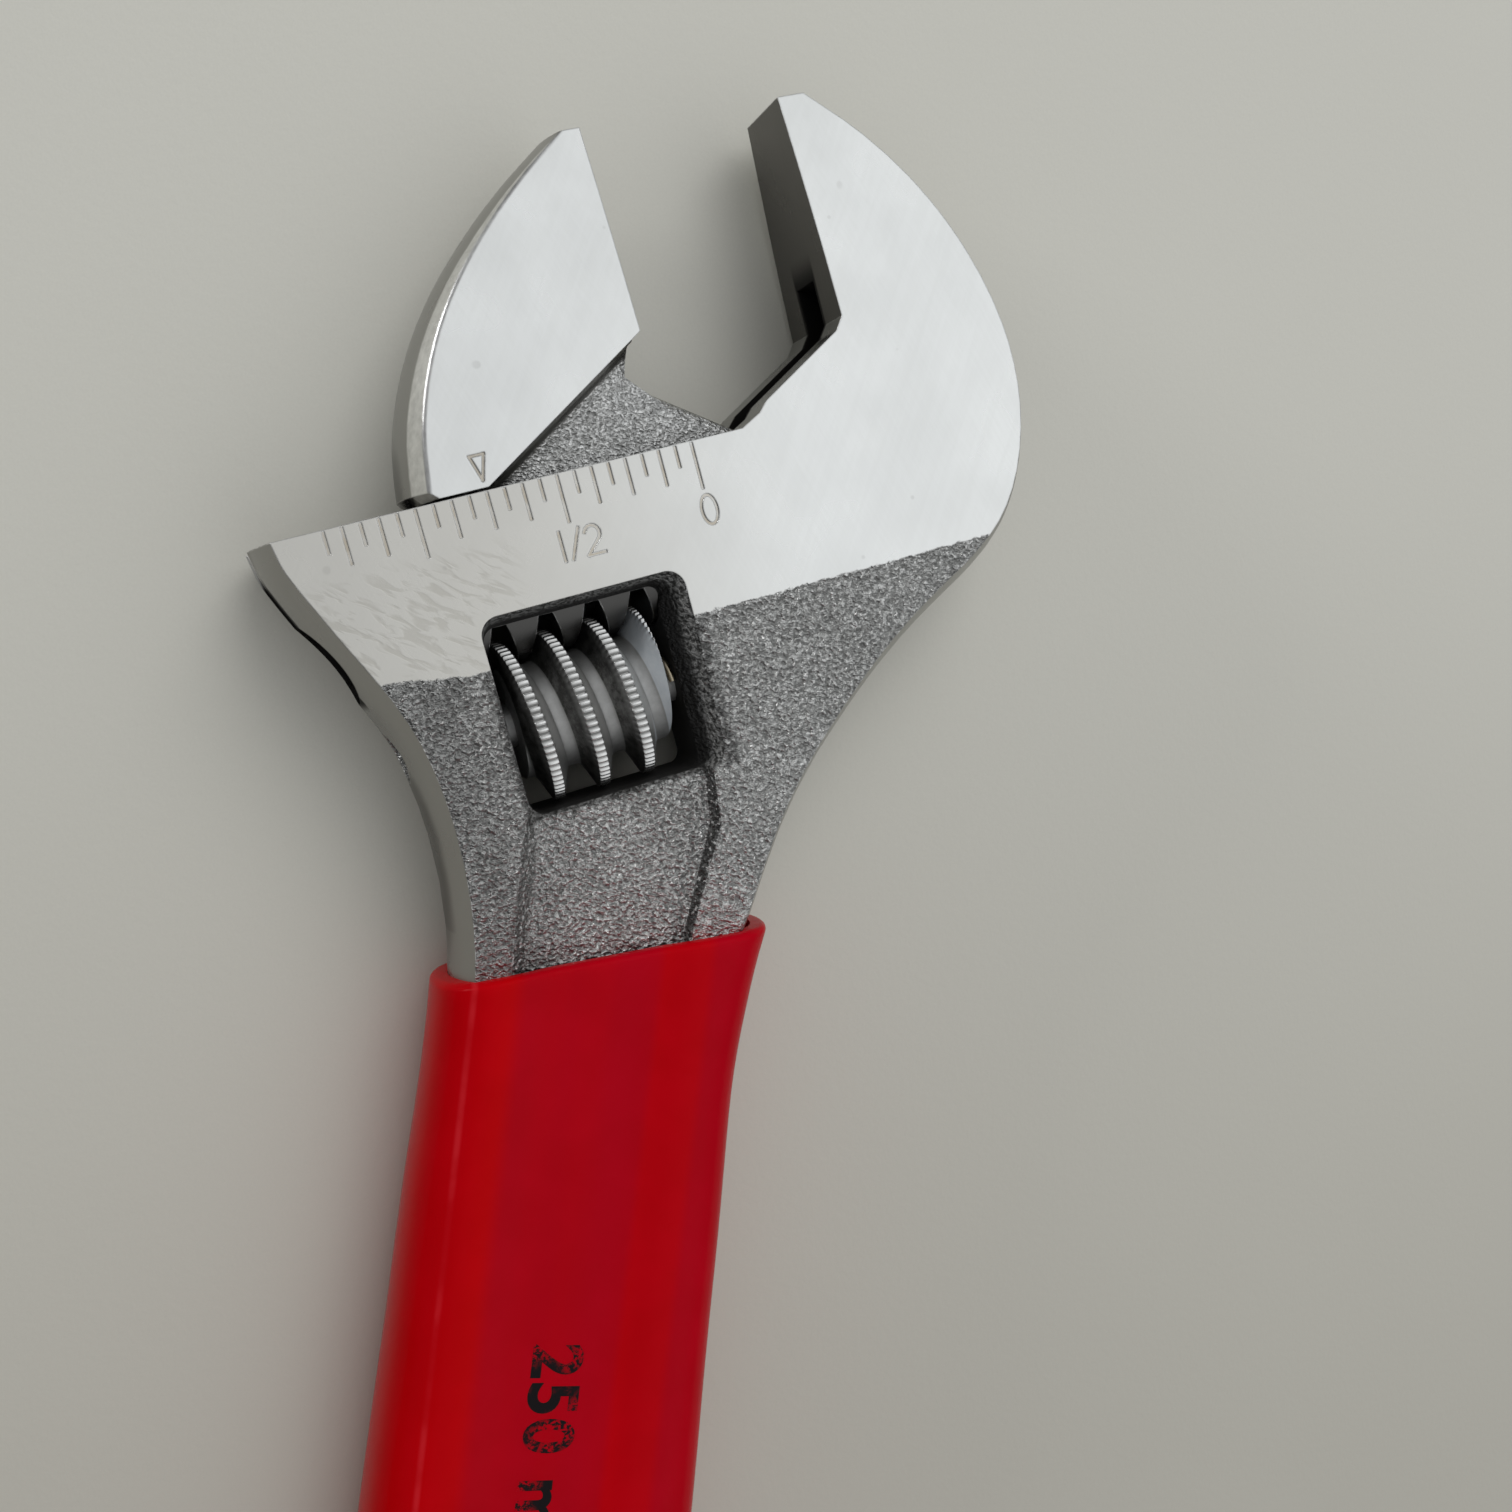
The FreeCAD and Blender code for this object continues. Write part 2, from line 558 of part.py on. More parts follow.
def make_grip(body):
    heights = [(-z, inset) for z, inset in reversed(SHOULDER[1:])] + SHOULDER
    sleeve = Part.makeLoft([grip_section(inset, z) for z, inset in heights], True, False)
    tilt = math.radians(LIP_TILT)
    mouth_left = on_handle(LIP_LEVEL + 40 * math.tan(tilt), -40)
    mouth_right = on_handle(LIP_LEVEL - 40 * math.tan(tilt), 40)
    beyond = [mouth_left, mouth_right, mouth_right - ALONG * 60, mouth_left - ALONG * 60]
    sleeve = sleeve.cut(through(beyond, 20))
    half = GRIP_HALF + 1
    floor = GRIP_HALF - GRIP_CHANNEL

    def channel_edge(extra, z):
        width = CHANNEL_HALF + extra
        start = -20
        stop = GRIP_END - CHANNEL_END_INSET + extra
        points = [on_handle(start, -width, z), on_handle(stop, -width, z),
                  on_handle(stop + width, 0, z), on_handle(stop, width, z),
                  on_handle(start, width, z)]
        return Part.makePolygon(points + [points[0]])

    channel = Part.makeLoft([channel_edge(0, floor), channel_edge(CHANNEL_SLOPE, half)], True, True)
    sleeve = sleeve.cut(channel).cut(channel.mirror(Vector(0, 0, 0), Z_DIR))
    return sleeve.cut(body).cut(hang_hole(HANG_HOLE))


def main():
    os.makedirs("parts", exist_ok=True)
    faces = ground_faces()
    body = make_body(faces)
    pieces = {
        "wrench_body": body.cut(scale_marks()),
        "movable_jaw": make_jaw(faces),
        "worm": make_worm(),
        "worm_pin": make_pin(),
        "worm_spring": make_spring(),
        "grip": make_grip(body),
    }
    for name, shape in pieces.items():
        solids = shape.removeSplitter().Solids
        print(name, len(solids), "solid", solids[0].isValid(), round(solids[0].Volume, 1), "mm3")
        solids[0].exportStep("parts/" + name + ".step")


main()
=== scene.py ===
"""Looks of the adjustable wrench: its metals, the knurled worm, the dipped grip and the studio."""
import math

import bmesh
import bpy
from mathutils import Matrix, Vector


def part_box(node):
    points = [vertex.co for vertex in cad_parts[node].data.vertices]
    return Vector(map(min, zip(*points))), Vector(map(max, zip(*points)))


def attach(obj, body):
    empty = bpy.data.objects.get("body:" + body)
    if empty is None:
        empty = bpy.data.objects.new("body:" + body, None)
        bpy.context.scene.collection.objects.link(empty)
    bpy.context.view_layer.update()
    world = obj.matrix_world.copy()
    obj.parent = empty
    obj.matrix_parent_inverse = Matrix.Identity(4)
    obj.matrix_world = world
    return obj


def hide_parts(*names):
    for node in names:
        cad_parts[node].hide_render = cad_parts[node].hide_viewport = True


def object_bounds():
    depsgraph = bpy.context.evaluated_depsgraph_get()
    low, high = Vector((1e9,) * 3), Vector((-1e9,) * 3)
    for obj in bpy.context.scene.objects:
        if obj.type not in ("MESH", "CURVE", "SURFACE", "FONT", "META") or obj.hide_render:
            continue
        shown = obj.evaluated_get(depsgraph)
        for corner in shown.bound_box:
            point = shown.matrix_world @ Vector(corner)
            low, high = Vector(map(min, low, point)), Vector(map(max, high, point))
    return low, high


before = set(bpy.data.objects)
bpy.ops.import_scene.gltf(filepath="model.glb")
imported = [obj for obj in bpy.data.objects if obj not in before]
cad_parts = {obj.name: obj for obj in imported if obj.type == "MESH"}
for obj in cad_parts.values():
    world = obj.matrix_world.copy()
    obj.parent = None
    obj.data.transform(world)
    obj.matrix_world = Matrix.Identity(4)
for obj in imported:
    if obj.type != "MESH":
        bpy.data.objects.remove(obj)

CAD_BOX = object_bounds()
MM = 0.001
CIRCLE_STEPS = 96             # corners of a circle in the meshes made here

# ---- places on the wrench, in metres of the row frame ------------------------------------
SLIDE_LEVEL = -18.0 * MM      # Y of the slide edge
GROUND_EDGE = -33.1 * MM      # Y where the ground faces meet the as-forged neck
GROUND_LEFT = -40.5 * MM      # left of this X that border climbs
GROUND_RUN = 9.0 * MM         # X over which it climbs
GROUND_RISE = 1.2 * MM
GROUND_WAVER = 0.7 * MM       # how far the border wanders
HEAD_HALF = 7.0 * MM          # half thickness of the ground faces at the worm
NECK_KNEE = -33.2 * MM        # below this Y the neck gets thinner
NECK_FALL = 0.0336            # half thickness lost per metre below the knee
LINE_DEPTH = 0.15 * MM        # depth of the engraved scale
SCALE_FOOT = -27.5 * MM       # Y below the engraved numbers
POINTER_X = (-37.3 * MM, -35.3 * MM)       # box round the jaw's engraved pointer
POINTER_Y = (-17.4 * MM, -14.7 * MM)
WINDOW_X = (-40.2 * MM, -20.9 * MM)        # sides of the worm window's mouth
WINDOW_Y = (-46.95 * MM, -28.5 * MM)
CHATTER_X = (-52 * MM, -38 * MM)           # where the wheel chattered
CHATTER_Y = (-31.5 * MM, -24 * MM)
WEB_LEVEL = 2.6 * MM          # Z above the movable jaw's web, below its ground part
RACK_AXIS = -28.9 * MM        # Y of the rack's axis
RACK_TOP = -26.0 * MM         # Y below which the movable jaw is coloured darker
# The dark masks of the rack's bore and the jaw's slot reach just past their walls.
BORE_RADIUS = 4.35 * MM
BORE_END = 7.0 * MM           # X
SLOT_Z = 2.4 * MM
SLOT_X = (-56 * MM, 11 * MM)
SLOT_TOP = (-3.0 * MM, -6.0 * MM)          # Y from which the slot gets dark
SLOT_FLOOR = (-34 * MM, -33 * MM)

# ---- worm --------------------------------------------------------------------------------
PITCH = 4.35 * MM
WORM_RADIUS = 7.8 * MM
WORM_ROOT = 5.1 * MM
WORM_CREST = -32.97 * MM      # X of one crest where it faces +Z
CREST_WIDTH = 0.95 * MM
FLANK_WIDTH = 1.15 * MM
WORM_BORE = 2.08 * MM
POCKET_RADIUS = 3.4 * MM
POCKET_DEPTH = 4.6 * MM
KNURLS = 72                   # notches round the worm
KNURL_DEPTH = 0.28 * MM
KNURL_SHARPNESS = 1.6         # above 1 the notches are narrower than the teeth between them
STEPS_PER_KNURL = 8
TURNS = range(-4, 6)          # pitches laid out from the crest, more than the worm is long
WORM_END = -26.5 * MM         # X where the plain last turn starts
CREST_FLAT = 0.72             # share of the crest that is flat
FOOT_REACH = 1.06             # how far the foot runs out past the flank
FLANK_CURVE = [(0.0, 0.02, 0.85), (0.08, 0.12, 0.2), (0.3, 0.34, 0.0), (0.6, 0.66, 0.0),
               (0.85, 0.90, 0.0), (1.0, 0.98, 0.0)]     # share of the flank, of its drop, knurl

# ---- grip --------------------------------------------------------------------------------
HANDLE_TURN = 22.5            # degrees between the handle and the jaw flats
HANDLE_ANGLE = math.radians(HANDLE_TURN)
HANDLE_PLACE = Vector((-35.8, -57.8, 0)) * MM          # a point on the handle axis
ALONG = Vector((-math.sin(HANDLE_ANGLE), -math.cos(HANDLE_ANGLE), 0))
ACROSS = Vector((math.cos(HANDLE_ANGLE), -math.sin(HANDLE_ANGLE), 0))
PANEL_BAND = 10.0 * MM        # half width of the band that holds the sunk panel and its sides
GRIP_END = 175.515 * MM
GRIP_HALF = 7.6 * MM
GRIP_WALL = 1.5 * MM
GRIP_WIDE = 15.9 * MM         # half width, and radius of the round end
LIP_LEVEL = 3.1 * MM          # where the mouth crosses the handle axis
LIP_TILT = math.tan(math.radians(14.8))
LIP_REACH = 45 * MM           # the mouth's tilt dies out over this length
LIP_ROUND = 0.7 * MM
MOUTH_CLEARANCE = 5 * MM      # how far the hollow's cutter stands out of the mouth
WIDTH_BLUR = (-5, -2.5, 0, 2.5, 5)         # mm along the handle over which widths are averaged
# Half widths, as (mm down the handle, mm).
RIGHT_WIDTHS = [(-8, 17.6), (0, 15.7), (12, 14.4), (32, 14.9), (60, 15.5), (120, 15.9)]
LEFT_WIDTHS = [(-8, 15.3), (-2, 15.0), (12, 14.4), (32, 15.0), (60, 15.5), (120, 15.9)]
SHOULDER = [(7.6, 4.6), (7.35, 3.55), (6.7, 2.4), (6.0, 1.6), (5.2, 1.0), (4.2, 0.58),
            (3.0, 0.27), (1.5, 0.08)]                  # height, inset of the rounded sides
CHANNEL = [(0.0, 0.7), (2.6, 0.7), (4.6, 0.69), (5.4, 0.6), (6.3, 0.42), (7.2, 0.2),
           (8.2, 0.06)]                                # distance from the middle, depth
CHANNEL_SHARE = 0.92          # most of the half width that the channel may take
CHANNEL_ENDS = [(129.0, 0.0), (147.0, 1.0)]              # mm down the handle, how far faded out
LIP_STEPS = 6
BODY_STEPS = 60
BODY_BUNCHING = 1.3           # above 1 the loops are closer together near the mouth
END_STEPS = 22
HANG_HOLE = 4.5 * MM
HANG_HOLE_STEEL = 6.0 * MM
HANG_HOLE_PLACE = GRIP_END - 15.0 * MM
CUTTER_HALF = 20 * MM
LEFT_BAND = (-6.8 * MM, -8.6 * MM)         # bands of painted reflection, across the handle
RIGHT_BAND = (5.6 * MM, 9.0 * MM)
CREASE = (-11.70 * MM, -11.60 * MM)        # painted highlight line down the left shoulder

# ---- print on the grip -------------------------------------------------------------------
PRINT_TEXT = "250 mm"
PRINT_SIZE = 6.3 * MM
PRINT_SPACING = 1.08
PRINT_WEIGHT = 0.17 * MM      # added to each side of a stroke
PRINT_START = 38.0 * MM       # first letter, down the handle
PRINT_BASE = -2.55 * MM       # foot of the letters, across the handle
PRINT_SUNK = 0.03 * MM
PRINT_THICK = 0.055 * MM

# ---- camera ------------------------------------------------------------------------------
CAMERA_PLACE = Vector((-61.98, -27.70, 150.07)) * MM
CAMERA_TARGET = Vector((-16.76, -47.96, 0.0)) * MM
CAMERA_ROLL = 14.79           # degrees
CAMERA_LENS = 39.14           # mm
SENSOR = 36.0                 # mm

# ---- studio ------------------------------------------------------------------------------
FLOOR_HALF = 1.5
SKY_HEIGHT = (0.05, 0.85, 0.20, 0.95)      # up: where it starts and stops brightening, from, to
SKY_SIDE = (-0.55, 0.45, 0.30, 1.0)        # the same from left to right

# ---- colours, linear; a pair is blended by a noise ---------------------------------------
CHROME = (0.87, 0.88, 0.872), (0.80, 0.81, 0.80)
CHROME_LINES = (0.66, 0.66, 0.64)
CHROME_PAINTED_SHADE = (0.62, 0.60, 0.555)
CHATTER = (0.42, 0.40, 0.35)
SCALE_FILL = (0.52, 0.455, 0.36)
POINTER_FILL = (0.50, 0.44, 0.35)
NICK = (0.35, 0.34, 0.32)
BODY_SKIN = (0.33, 0.329, 0.321), (0.80, 0.80, 0.785)
JAW_SKIN = (0.46, 0.46, 0.453), (0.90, 0.90, 0.89)
NECK_SHADE = (0.11, 0.109, 0.105)
PANEL_PAINTED_SHADE = (0.045, 0.044, 0.042)
PANEL_PAINTED_GLINTS = (0.95, 0.95, 0.94)
WINDOW_RIM_DARK = (0.05, 0.049, 0.047)
WINDOW_FLARE = (0.06, 0.059, 0.056), (0.30, 0.298, 0.29)
WALLS = (0.30, 0.295, 0.28), (0.38, 0.375, 0.36)
WALLS_ACROSS = (0.115, 0.11, 0.10)
UNLIT = (0.02, 0.019, 0.018)
RACK_DARK = (0.085, 0.083, 0.08)
GLINT = (0.82, 0.82, 0.81)
JAW_EDGE_GLINT = (0.55, 0.55, 0.54), (0.98, 0.98, 0.97)
WORM_FLANK = (0.075, 0.073, 0.07), (0.22, 0.218, 0.213)
WORM_SPECKS = (0.28, 0.28, 0.27)
WORM_SHOULDER = (0.36, 0.357, 0.35)
WORM_RIGHT_FLANK_PAINTED_LIGHT = (0.70, 0.695, 0.68)
WORM_LAST_TURN_PAINTED_REFLECTION = (0.70, 0.75, 0.80), (0.95, 0.97, 0.99)
WORM_FLOOR = (0.34, 0.338, 0.33), (0.62, 0.617, 0.61)
WORM_RUBBED = (0.80, 0.80, 0.79)
SPRING = (0.35, 0.28, 0.18), (0.62, 0.55, 0.42)
VINYL_DEEP = (0.435, 0.0003, 0.0075), (0.465, 0.0005, 0.0095)
VINYL_LIT = (0.54, 0.0001, 0.0004), (0.58, 0.0001, 0.0008)
VINYL_CREASE_HIGHLIGHT = (0.80, 0.045, 0.06)
INK = (0.012, 0.010, 0.011)
FLOOR_FAR = (0.665, 0.653, 0.590), (0.695, 0.683, 0.620)
FLOOR_NEAR = (0.520, 0.498, 0.435), (0.550, 0.528, 0.465)
FLOOR_GRAIN = (0.40, 0.39, 0.35)
SKY = (0.97, 0.99, 1.0)


# ---- materials ---------------------------------------------------------------------------
class Recipe:
    """A material's node tree, with short ways to add nodes and join them."""

    def __init__(self, name):
        self.material = bpy.data.materials.new(name)
        self.material.use_nodes = True
        self.tree = self.material.node_tree
        self.shader = self.tree.nodes["Principled BSDF"]
        coordinates = self.add("ShaderNodeTexCoord")
        self.place = coordinates.outputs["Object"]
        self.facing = coordinates.outputs["Normal"]
        axes = self.add("ShaderNodeSeparateXYZ", {0: self.place})
        self.x, self.y, self.z = axes.outputs

    def add(self, kind, inputs=None, **settings):
        node = self.tree.nodes.new(kind)
        for key, value in settings.items():
            setattr(node, key, value)
        for key, value in (inputs or {}).items():
            self.put(node.inputs[key], value)
        return node

    def put(self, socket, value):
        if isinstance(value, bpy.types.NodeSocket):
            self.tree.links.new(value, socket)
        elif isinstance(value, (tuple, list)) and len(value) == 3 and socket.type == "RGBA":
            socket.default_value = (*value, 1.0)
        else:
            socket.default_value = value

    def set(self, **values):
        for key, value in values.items():
            self.put(self.shader.inputs[key.replace("_", " ")], value)

    def math(self, operation, a, b=0.0):
        return self.add("ShaderNodeMath", {0: a, 1: b}, operation=operation).outputs[0]

    def plus(self, a, b):
        return self.math("ADD", a, b)

    def minus(self, a, b):
        return self.math("SUBTRACT", a, b)

    def absolute(self, value):
        return self.math("ABSOLUTE", value)

    def larger(self, a, b):
        return self.math("MAXIMUM", a, b)

    def times(self, *values):
        result = values[0]
        for value in values[1:]:
            result = self.math("MULTIPLY", result, value)
        return result

    def without(self, a, b):
        """Mask a where mask b is not."""
        return self.times(a, self.minus(1.0, b))

    def length(self, a, b):
        """Length of the vector (a, b)."""
        return self.math("SQRT", self.plus(self.times(a, a), self.times(b, b)))

    def part(self, vector, axis):
        return self.add("ShaderNodeSeparateXYZ", {0: vector}).outputs[axis]

    def stretched(self, scale, turn=0.0):
        """Object coordinates turned about Z by some degrees, then scaled per axis."""
        turned = self.add("ShaderNodeMapping", {"Vector": self.place,
                                                "Rotation": (0, 0, math.radians(turn))})
        node = self.add("ShaderNodeMapping", {"Vector": turned.outputs[0], "Scale": scale})
        return node.outputs[0]

    def across_handle(self):
        """Metres from the handle's axis, counted to the right."""
        turned = self.stretched((1.0, 1.0, 1.0), HANDLE_TURN)
        return self.minus(self.part(turned, 0), ACROSS.dot(HANDLE_PLACE))

    def noise(self, size, detail=2.0, roughness=0.5, distortion=0.0, vector=None):
        """Noise whose features are about size metres across."""
        node = self.add("ShaderNodeTexNoise", {
            "Vector": vector or self.place, "Scale": 1.0 / size, "Detail": detail,
            "Roughness": roughness, "Distortion": distortion})
        return node.outputs["Fac"]

    def cells(self, size, vector=None):
        node = self.add("ShaderNodeTexVoronoi", {"Vector": vector or self.place,
                                                 "Scale": 1.0 / size}, feature="SMOOTH_F1")
        return node.outputs["Distance"]

    def fade(self, value, low, high, to_low=0.0, to_high=1.0):
        """A smooth step from to_low where the value is low to to_high where it is high."""
        node = self.add("ShaderNodeMapRange", {
            "Value": value, "From Min": low, "From Max": high, "To Min": to_low,
            "To Max": to_high}, interpolation_type="SMOOTHSTEP")
        return node.outputs[0]

    def within(self, value, low, high, soft):
        """1 between low and high, fading out over the soft distance."""
        return self.times(self.fade(value, low - soft, low), self.fade(value, high + soft, high))

    def blend(self, factor, a, b):
        node = self.add("ShaderNodeMix", data_type="RGBA")
        self.put(node.inputs["Factor"], factor)
        self.put(node.inputs[6], a)
        self.put(node.inputs[7], b)
        return node.outputs[2]

    def mix(self, factor, a, b):
        node = self.add("ShaderNodeMix", data_type="FLOAT")
        self.put(node.inputs["Factor"], factor)
        self.put(node.inputs[2], a)
        self.put(node.inputs[3], b)
        return node.outputs[0]

    def mix_normals(self, factor, a, b):
        node = self.add("ShaderNodeMix", data_type="VECTOR")
        self.put(node.inputs["Factor"], factor)
        self.put(node.inputs[4], a)
        self.put(node.inputs[5], b)
        return node.outputs[1]

    def relief(self, height, depth, normal=None):
        """A bump of that many metres where the height runs from 0 to 1."""
        node = self.add("ShaderNodeBump", {"Height": height, "Distance": depth,
                                           "Strength": 1.0})
        if normal is not None:
            self.put(node.inputs["Normal"], normal)
        return node.outputs[0]

    def soft_edges(self, radius):
        """The normal with its sharp edges rounded off."""
        return self.add("ShaderNodeBevel", {"Radius": radius}, samples=6).outputs[0]

    def edge_mask(self, rounded):
        """1 along sharp edges, 0 elsewhere."""
        flat = self.add("ShaderNodeNewGeometry").outputs["Normal"]
        alike = self.add("ShaderNodeVectorMath", {0: rounded, 1: flat}, operation="DOT_PRODUCT")
        return self.fade(alike.outputs["Value"], 0.99, 0.9)


def ground_finish(r):
    """A ground face: height of its fine lines and scratches, mask of its clouds and nicks."""
    lines = r.noise(0.28 * MM, 4.0, 0.6, 0.0, r.stretched((1.0, 0.05, 1.0), -18))
    scratches = r.noise(0.8 * MM, 2.0, 0.7, 0.3, r.stretched((1.0, 0.05, 1.0), 34))
    height = r.plus(r.times(lines, 0.6), r.times(scratches, 0.7))
    clouds = r.noise(8 * MM, 3.0)
    nicks = r.fade(r.cells(5.5 * MM), 0.05, 0.02)
    return height, clouds, nicks


def pebbles(r, size):
    """Forged and chromed skin, rounded grains of two sizes with small pits: height and tint."""
    warp = r.stretched((1.0, 1.25, 1.0), 25)
    grain = r.noise(size, 2.0, 0.45, 0.3, warp)
    coarse = r.noise(size * 2.6, 1.0, 0.5, 0.3)
    pit = r.fade(r.cells(size * 2.4, warp), 0.40, 0.10)
    height = r.plus(r.plus(grain, r.times(coarse, 0.6)), r.times(pit, -0.15))
    tint = r.plus(r.times(r.fade(grain, 0.25, 0.75), 0.7), r.times(r.noise(size * 9, 2.0), 0.3))
    return height, tint


def body_ground(r):
    """Mask of the body above the wavering border of its ground faces."""
    climb = r.times(r.fade(r.x, GROUND_LEFT, GROUND_LEFT - GROUND_RUN), -GROUND_RISE)
    waver = r.times(r.noise(0.9 * MM, 3.0, 0.7), GROUND_WAVER)
    border = r.plus(r.plus(r.y, climb), waver)
    return r.fade(border, GROUND_EDGE + 0.2 * MM, GROUND_EDGE + 0.45 * MM)


def wheel_chatter(r):
    """Mask of the short curved strokes that the wheel left on the left half of the head."""
    patch = r.times(r.within(r.x, *CHATTER_X, 4 * MM), r.within(r.y, *CHATTER_Y, 2.5 * MM))
    strokes = r.noise(0.8 * MM, 2.0, 0.6, 0.6, r.stretched((0.28, 1.0, 1.0), 38))
    return r.times(r.fade(strokes, 0.46, 0.62), patch)


def scale_lines(r, height):
    """Mask of the floor of the engraved scale."""
    floor = r.within(height, HEAD_HALF - LINE_DEPTH * 1.3, HEAD_HALF - LINE_DEPTH * 0.35,
                     LINE_DEPTH * 0.1)
    return r.times(floor, r.within(r.y, SCALE_FOOT, SLIDE_LEVEL - 0.15 * MM, 0.1 * MM))


def pointer_lines(r, height):
    """Mask of the floor of the pointer engraved on the movable jaw."""
    return r.times(r.within(r.x, *POINTER_X, 0.1 * MM), r.within(r.y, *POINTER_Y, 0.1 * MM),
                   r.fade(height, HEAD_HALF - 0.07 * MM, HEAD_HALF - 0.10 * MM),
                   r.fade(height, HEAD_HALF - 0.4 * MM, HEAD_HALF - 0.3 * MM))


def neck_painted_light(r, skin, curved, panel, halo):
    """The neck with painted shade on its left side and on the slopes of its panel, painted glints
    on those slopes, and darker blotches round the window.
    """
    # Painted shade on the neck's left side.
    skin = r.blend(r.fade(r.x, -38 * MM, -45 * MM, 0.0, 0.40), skin, NECK_SHADE)
    # Painted shade on the panel's slopes, most where they face left.
    sloped = r.times(r.fade(r.absolute(r.part(curved, 2)), 0.985, 0.86), panel)
    turned_left = r.fade(r.part(r.facing, 0), 0.2, -0.2, 0.45, 0.85)
    skin = r.blend(r.times(sloped, turned_left), skin, PANEL_PAINTED_SHADE)
    # Painted glints: pale specks on the slopes of the panel.
    specks = r.fade(r.noise(0.42 * MM, 2.0), 0.56, 0.66, 0.0, 0.8)
    skin = r.blend(r.times(sloped, specks), skin, PANEL_PAINTED_GLINTS)
    # Darker round the window's mouth, in blotches.
    rim_blotches = r.fade(r.noise(0.9 * MM, 3.0, 0.6), 0.35, 0.6, 0.05, 0.75)
    return r.blend(r.times(halo, rim_blotches), skin, WINDOW_RIM_DARK)


def window_masks(r, height):
    """Masks of the worm window's sloped mouth and of its walls below that, where shade is painted.
    """
    inside = r.times(r.within(r.x, *WINDOW_X, 0.15 * MM), r.within(r.y, *WINDOW_Y, 0.15 * MM))
    fall = r.larger(r.minus(NECK_KNEE, r.y), 0.0)
    depth = r.minus(r.plus(height, r.times(fall, NECK_FALL)), HEAD_HALF)
    shade_edge_noise = r.times(r.noise(0.7 * MM, 3.0, 0.6), 1.2 * MM)
    dark = r.times(inside, r.fade(r.plus(depth, shade_edge_noise), -0.3 * MM, -1.5 * MM))
    return r.times(inside, r.fade(depth, -0.03 * MM, -0.2 * MM)), dark


def slide_mask(r, height):
    """Mask of the walls of the jaw's slot and of the rack's bore, where little light gets."""
    slot = r.times(r.fade(height, SLOT_Z + 0.5 * MM, SLOT_Z), r.fade(r.y, *SLOT_TOP),
                   r.fade(r.y, *SLOT_FLOOR), r.within(r.x, *SLOT_X, 0.5 * MM))
    bore = r.fade(r.length(r.minus(r.y, RACK_AXIS), r.z), BORE_RADIUS + 0.15 * MM, BORE_RADIUS)
    bore = r.times(bore, r.fade(r.x, BORE_END + 0.4 * MM, BORE_END))
    return r.larger(slot, bore)


def plate_colour(r, fine, clouds):
    return r.blend(r.fade(fine, 0.5, 0.8, 0.0, 0.12), r.blend(clouds, *CHROME), CHROME_LINES)


def wall_colour(r, clouds):
    """Side walls, darkest where they face straight left or right."""
    sideways = r.absolute(r.part(r.facing, 0))
    return r.blend(r.fade(sideways, 0.95, 0.99), r.blend(clouds, *WALLS), WALLS_ACROSS)


def edge_highlights(r, edge, colour):
    """The colour with a painted highlight along the edges, stronger in some places than in others.
    """
    glint = r.times(edge, r.fade(r.noise(0.8 * MM, 2.0), 0.35, 0.6, 0.25, 0.85))
    return r.blend(glint, colour, GLINT)


def chrome_roughness(r, pebbled, clouds, tint, dark):
    satin = r.fade(clouds, 0.3, 0.7, 0.26, 0.33)
    roughness = r.mix(pebbled, satin, r.fade(tint, 0.2, 0.8, 0.46, 0.32))
    return r.mix(dark, roughness, 0.65)


def body_chrome(name):
    """The body's chromed forging: ground above, pebbled on the neck, smooth on its walls."""
    r = Recipe(name)
    upward = r.absolute(r.part(r.facing, 2))
    broad = r.fade(upward, 0.9, 0.95)
    height = r.absolute(r.z)
    ground = r.times(body_ground(r), broad)
    panel = r.fade(r.absolute(r.across_handle()), PANEL_BAND + 1.0 * MM, PANEL_BAND)
    forged = r.larger(r.fade(upward, 0.50, 0.54), r.times(panel, r.fade(upward, 0.2, 0.4)))
    pebbled = r.without(forged, ground)
    peel, tint = pebbles(r, 0.42 * MM)
    fine, clouds, nicks = ground_finish(r)
    rounded = r.soft_edges(0.2 * MM)
    curved = r.soft_edges(0.7 * MM)
    chatter = wheel_chatter(r)
    engraved = scale_lines(r, height)
    flare, dark = window_masks(r, height)
    dark = r.larger(dark, slide_mask(r, height))
    halo = r.times(r.within(r.x, *WINDOW_X, 1.3 * MM), r.within(r.y, *WINDOW_Y, 0.7 * MM))

    smooth_normal = r.relief(r.plus(fine, r.times(chatter, -1.2)), 0.006 * MM, rounded)
    normal = r.mix_normals(pebbled, smooth_normal, r.relief(peel, 0.72 * MM, curved))
    plain = r.add("ShaderNodeNewGeometry").outputs["Normal"]
    normal = r.mix_normals(engraved, normal, plain)

    bright = plate_colour(r, fine, clouds)
    # Painted shade: the plated faces darken towards the left.
    shade_to_left = r.fade(r.x, -4 * MM, -42 * MM, 0.0, 0.9)
    bright = r.blend(r.times(shade_to_left, 0.95), bright, CHROME_PAINTED_SHADE)
    bright = r.blend(r.times(chatter, 0.35), bright, CHATTER)
    faint = r.fade(r.noise(2.2 * MM, 2.0), 0.3, 0.6, 0.2, 0.85)
    bright = r.blend(r.times(engraved, faint), bright, SCALE_FILL)
    bright = r.blend(r.times(nicks, 0.2), bright, NICK)
    skin = neck_painted_light(r, r.blend(r.fade(tint, 0.1, 0.8), *BODY_SKIN), curved, panel, halo)
    colour = r.blend(broad, wall_colour(r, clouds), bright)
    colour = r.blend(pebbled, colour, skin)
    colour = r.blend(flare, colour, r.blend(r.fade(tint, 0.3, 0.7), *WINDOW_FLARE))
    colour = r.blend(dark, colour, UNLIT)
    # Painted highlight along the edges, left out of the dark walls and the blotches round the
    # window.
    edge = r.without(r.without(r.edge_mask(rounded), dark), halo)
    colour = edge_highlights(r, edge, colour)
    r.set(Base_Color=colour, Roughness=chrome_roughness(r, pebbled, clouds, tint, dark),
          Normal=normal, Metallic=r.minus(1.0, r.times(flare, 0.8)))
    return r.material


